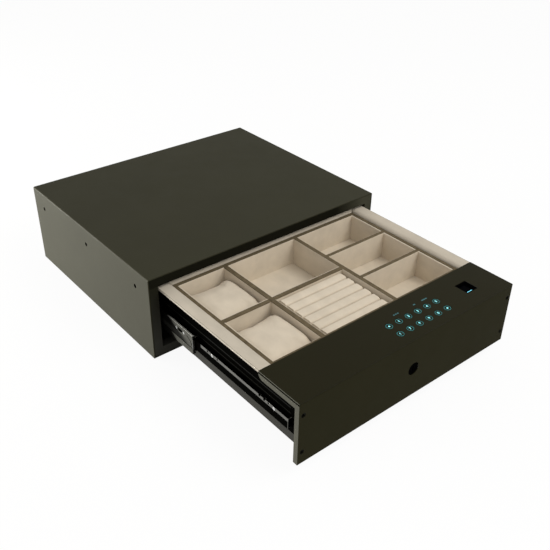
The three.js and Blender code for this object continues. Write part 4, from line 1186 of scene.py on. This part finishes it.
def edge_profile(wide):
    """The padded edge's section: pairs of the distance in from its outer edge and the depth below its top."""
    points = [(0.0, EDGE_SHEET), (0.0, EDGE_ROUND)]
    for i in range(1, 5):
        turn = math.pi / 2 * i / 4
        points.append((EDGE_ROUND * (1 - math.cos(turn)), EDGE_ROUND * (1 - math.sin(turn))))
    for i in range(1, 10):
        points.append((EDGE_ROUND + (wide - EDGE_ROLL - EDGE_ROUND) * i / 10, 0.0))
    for i in range(8):
        turn = math.pi / 2 * i / 7
        points.append((wide - EDGE_ROLL * (1 - math.sin(turn)), EDGE_ROLL * (1 - math.cos(turn))))
    points += [(wide, EDGE_HANG - 0.8), (wide - 0.8, EDGE_HANG)]
    points += [(EDGE_INNER_FROM, EDGE_HANG), (EDGE_INNER_FROM, EDGE_SHEET)]
    return points


def padded_edge(node, outer, start, end, mitres, wide):
    """Foam under velvet along one side of the tray. outer gives a point from the distance in, the run and the
    depth. mitres tells what share of the distance in each end of the run draws back by."""
    profile = edge_profile(wide)
    stations = max(2, round((end - start) / EDGE_STEP))
    rings = []
    for k in range(stations + 1):
        ring = []
        for inward, deep in profile:
            first, last = start + mitres[0] * inward, end - mitres[1] * inward
            spot = outer(inward, first + (last - first) * k / stations, deep)
            puff = noise.noise(spot * 38) * 0.35 + noise.noise(spot * 120) * 0.12
            crown = math.sin(math.pi * min(1.0, inward / wide)) * EDGE_CROWN
            if deep < EDGE_SHEET and 0.5 < inward < wide:
                spot.z += (crown - EDGE_CROWN + puff * 0.6) * MM
            ring.append(spot)
        rings.append(ring)
    bm = bmesh.new()
    made = add_loft(bm, rings)
    spots = {vert: inward for ring in made for vert, (inward, deep) in zip(ring, profile)}
    # Painted shade: the outer rounded side takes a darker velvet.
    for face in bm.faces:
        if max(spots[v] for v in face.verts) < EDGE_ROUND * 1.05:
            face.material_index = 1
    looks = ["edge_velvet", "edge_side"]
    thing = built(node + "_cover", bm, node, looks, (node,), math.radians(50))


def add_padded_edges():
    for side, sign in (("left", -1), ("right", 1)):
        node = side + "_padded_edge"
        low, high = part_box(node)
        edge_x = high.x if sign > 0 else -low.x

        def along_side(inward, run, deep, sign=sign, edge_x=edge_x, top=high.z):
            return Vector((sign * (edge_x - inward * MM), run * MM, top - deep * MM))

        padded_edge(node, along_side, low.y / MM, high.y / MM, (0, 1), SIDE_EDGE_WIDTH)
    low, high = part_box("rear_padded_edge")

    def along_rear(inward, run, deep):
        return Vector((run * MM, high.y - inward * MM, high.z - deep * MM))

    padded_edge("rear_padded_edge", along_rear, low.x / MM, high.x / MM, (1, 1), REAR_EDGE_WIDTH)


add_padded_edges()

# ---- stage and light


def white_to_lens(tree, shader, share):
    """Mixes plain white into what the lens, gloss and glass see of a shader, and gives the mixed shader."""
    path = tree.nodes.new("ShaderNodeLightPath")
    seen = path.outputs["Is Camera Ray"]
    for kind in ("Is Glossy Ray", "Is Transmission Ray"):
        both = {0: seen, 1: path.outputs[kind]}
        seen = add_node(tree, "ShaderNodeMath", {}, both, operation="MAXIMUM").outputs[0]
    scaled = add_node(tree, "ShaderNodeMath", {1: share}, {0: seen}, operation="MULTIPLY")
    kind = "ShaderNodeBackground" if shader.node.type == "BACKGROUND" else "ShaderNodeEmission"
    white = add_node(tree, kind, {"Strength": 1.0, "Color": (1, 1, 1, 1)}, {})
    links = {"Fac": scaled.outputs[0], 1: shader, 2: white.outputs[0]}
    return add_node(tree, "ShaderNodeMixShader", {}, links).outputs[0]


FLOOR_WHITE = 0.93
FLOOR_SIZE = 6.0
FLOOR_DROP = 0.0002
FLOOR_LOOK = {"Base Color": (0.86, 0.86, 0.85, 1), "Roughness": 0.9, "Specular IOR Level": 0.1}
AMBIENT = 0.66
SKY = (1.0, 0.985, 0.965, 1)
LAMP_TINT = (1, 0.985, 0.96)


def add_stage():
    bm = bmesh.new()
    bmesh.ops.create_grid(bm, x_segments=8, y_segments=8, size=FLOOR_SIZE)
    mesh = bpy.data.meshes.new("floor")
    bm.to_mesh(mesh)
    bm.free()
    floor = bpy.data.objects.new("floor", mesh)
    floor.location.z = -FLOOR_DROP
    scene.collection.objects.link(floor)
    finish = Finish("floor", FLOOR_LOOK)
    mixed = white_to_lens(finish.tree, finish.shader.outputs[0], FLOOR_WHITE)
    finish.tree.links.new(mixed, finish.tree.nodes["Material Output"].inputs["Surface"])
    mesh.materials.append(finish.material)

    world = bpy.data.worlds.new("world")
    scene.world = world
    world.use_nodes = True
    tree = world.node_tree
    tree.nodes.clear()
    sky = add_node(tree, "ShaderNodeBackground", {"Color": SKY, "Strength": AMBIENT}, {})
    add_node(tree, "ShaderNodeOutputWorld", {}, {"Surface": white_to_lens(tree, sky.outputs[0], 1.0)})


def add_lamp(name, place, aim, wide, tall, power):
    data = bpy.data.lights.new(name, "AREA")
    data.shape = "RECTANGLE"
    data.size = wide
    data.size_y = tall
    data.energy = power
    data.color = LAMP_TINT
    lamp = bpy.data.objects.new(name, data)
    scene.collection.objects.link(lamp)
    lamp.location = place
    lamp.rotation_mode = "QUATERNION"
    lamp.rotation_quaternion = (Vector(aim) - Vector(place)).to_track_quat("-Z", "Y")


add_stage()
add_lamp("key", (0.62, -1.25, 1.55), (0.0, -0.25, 0.1), 1.2, 1.2, 18.5)
add_lamp("side", (-1.15, 1.25, 0.13), (-0.2, -0.05, 0.06), 1.0, 0.24, 80.0)

scene.view_settings.view_transform = "Standard"
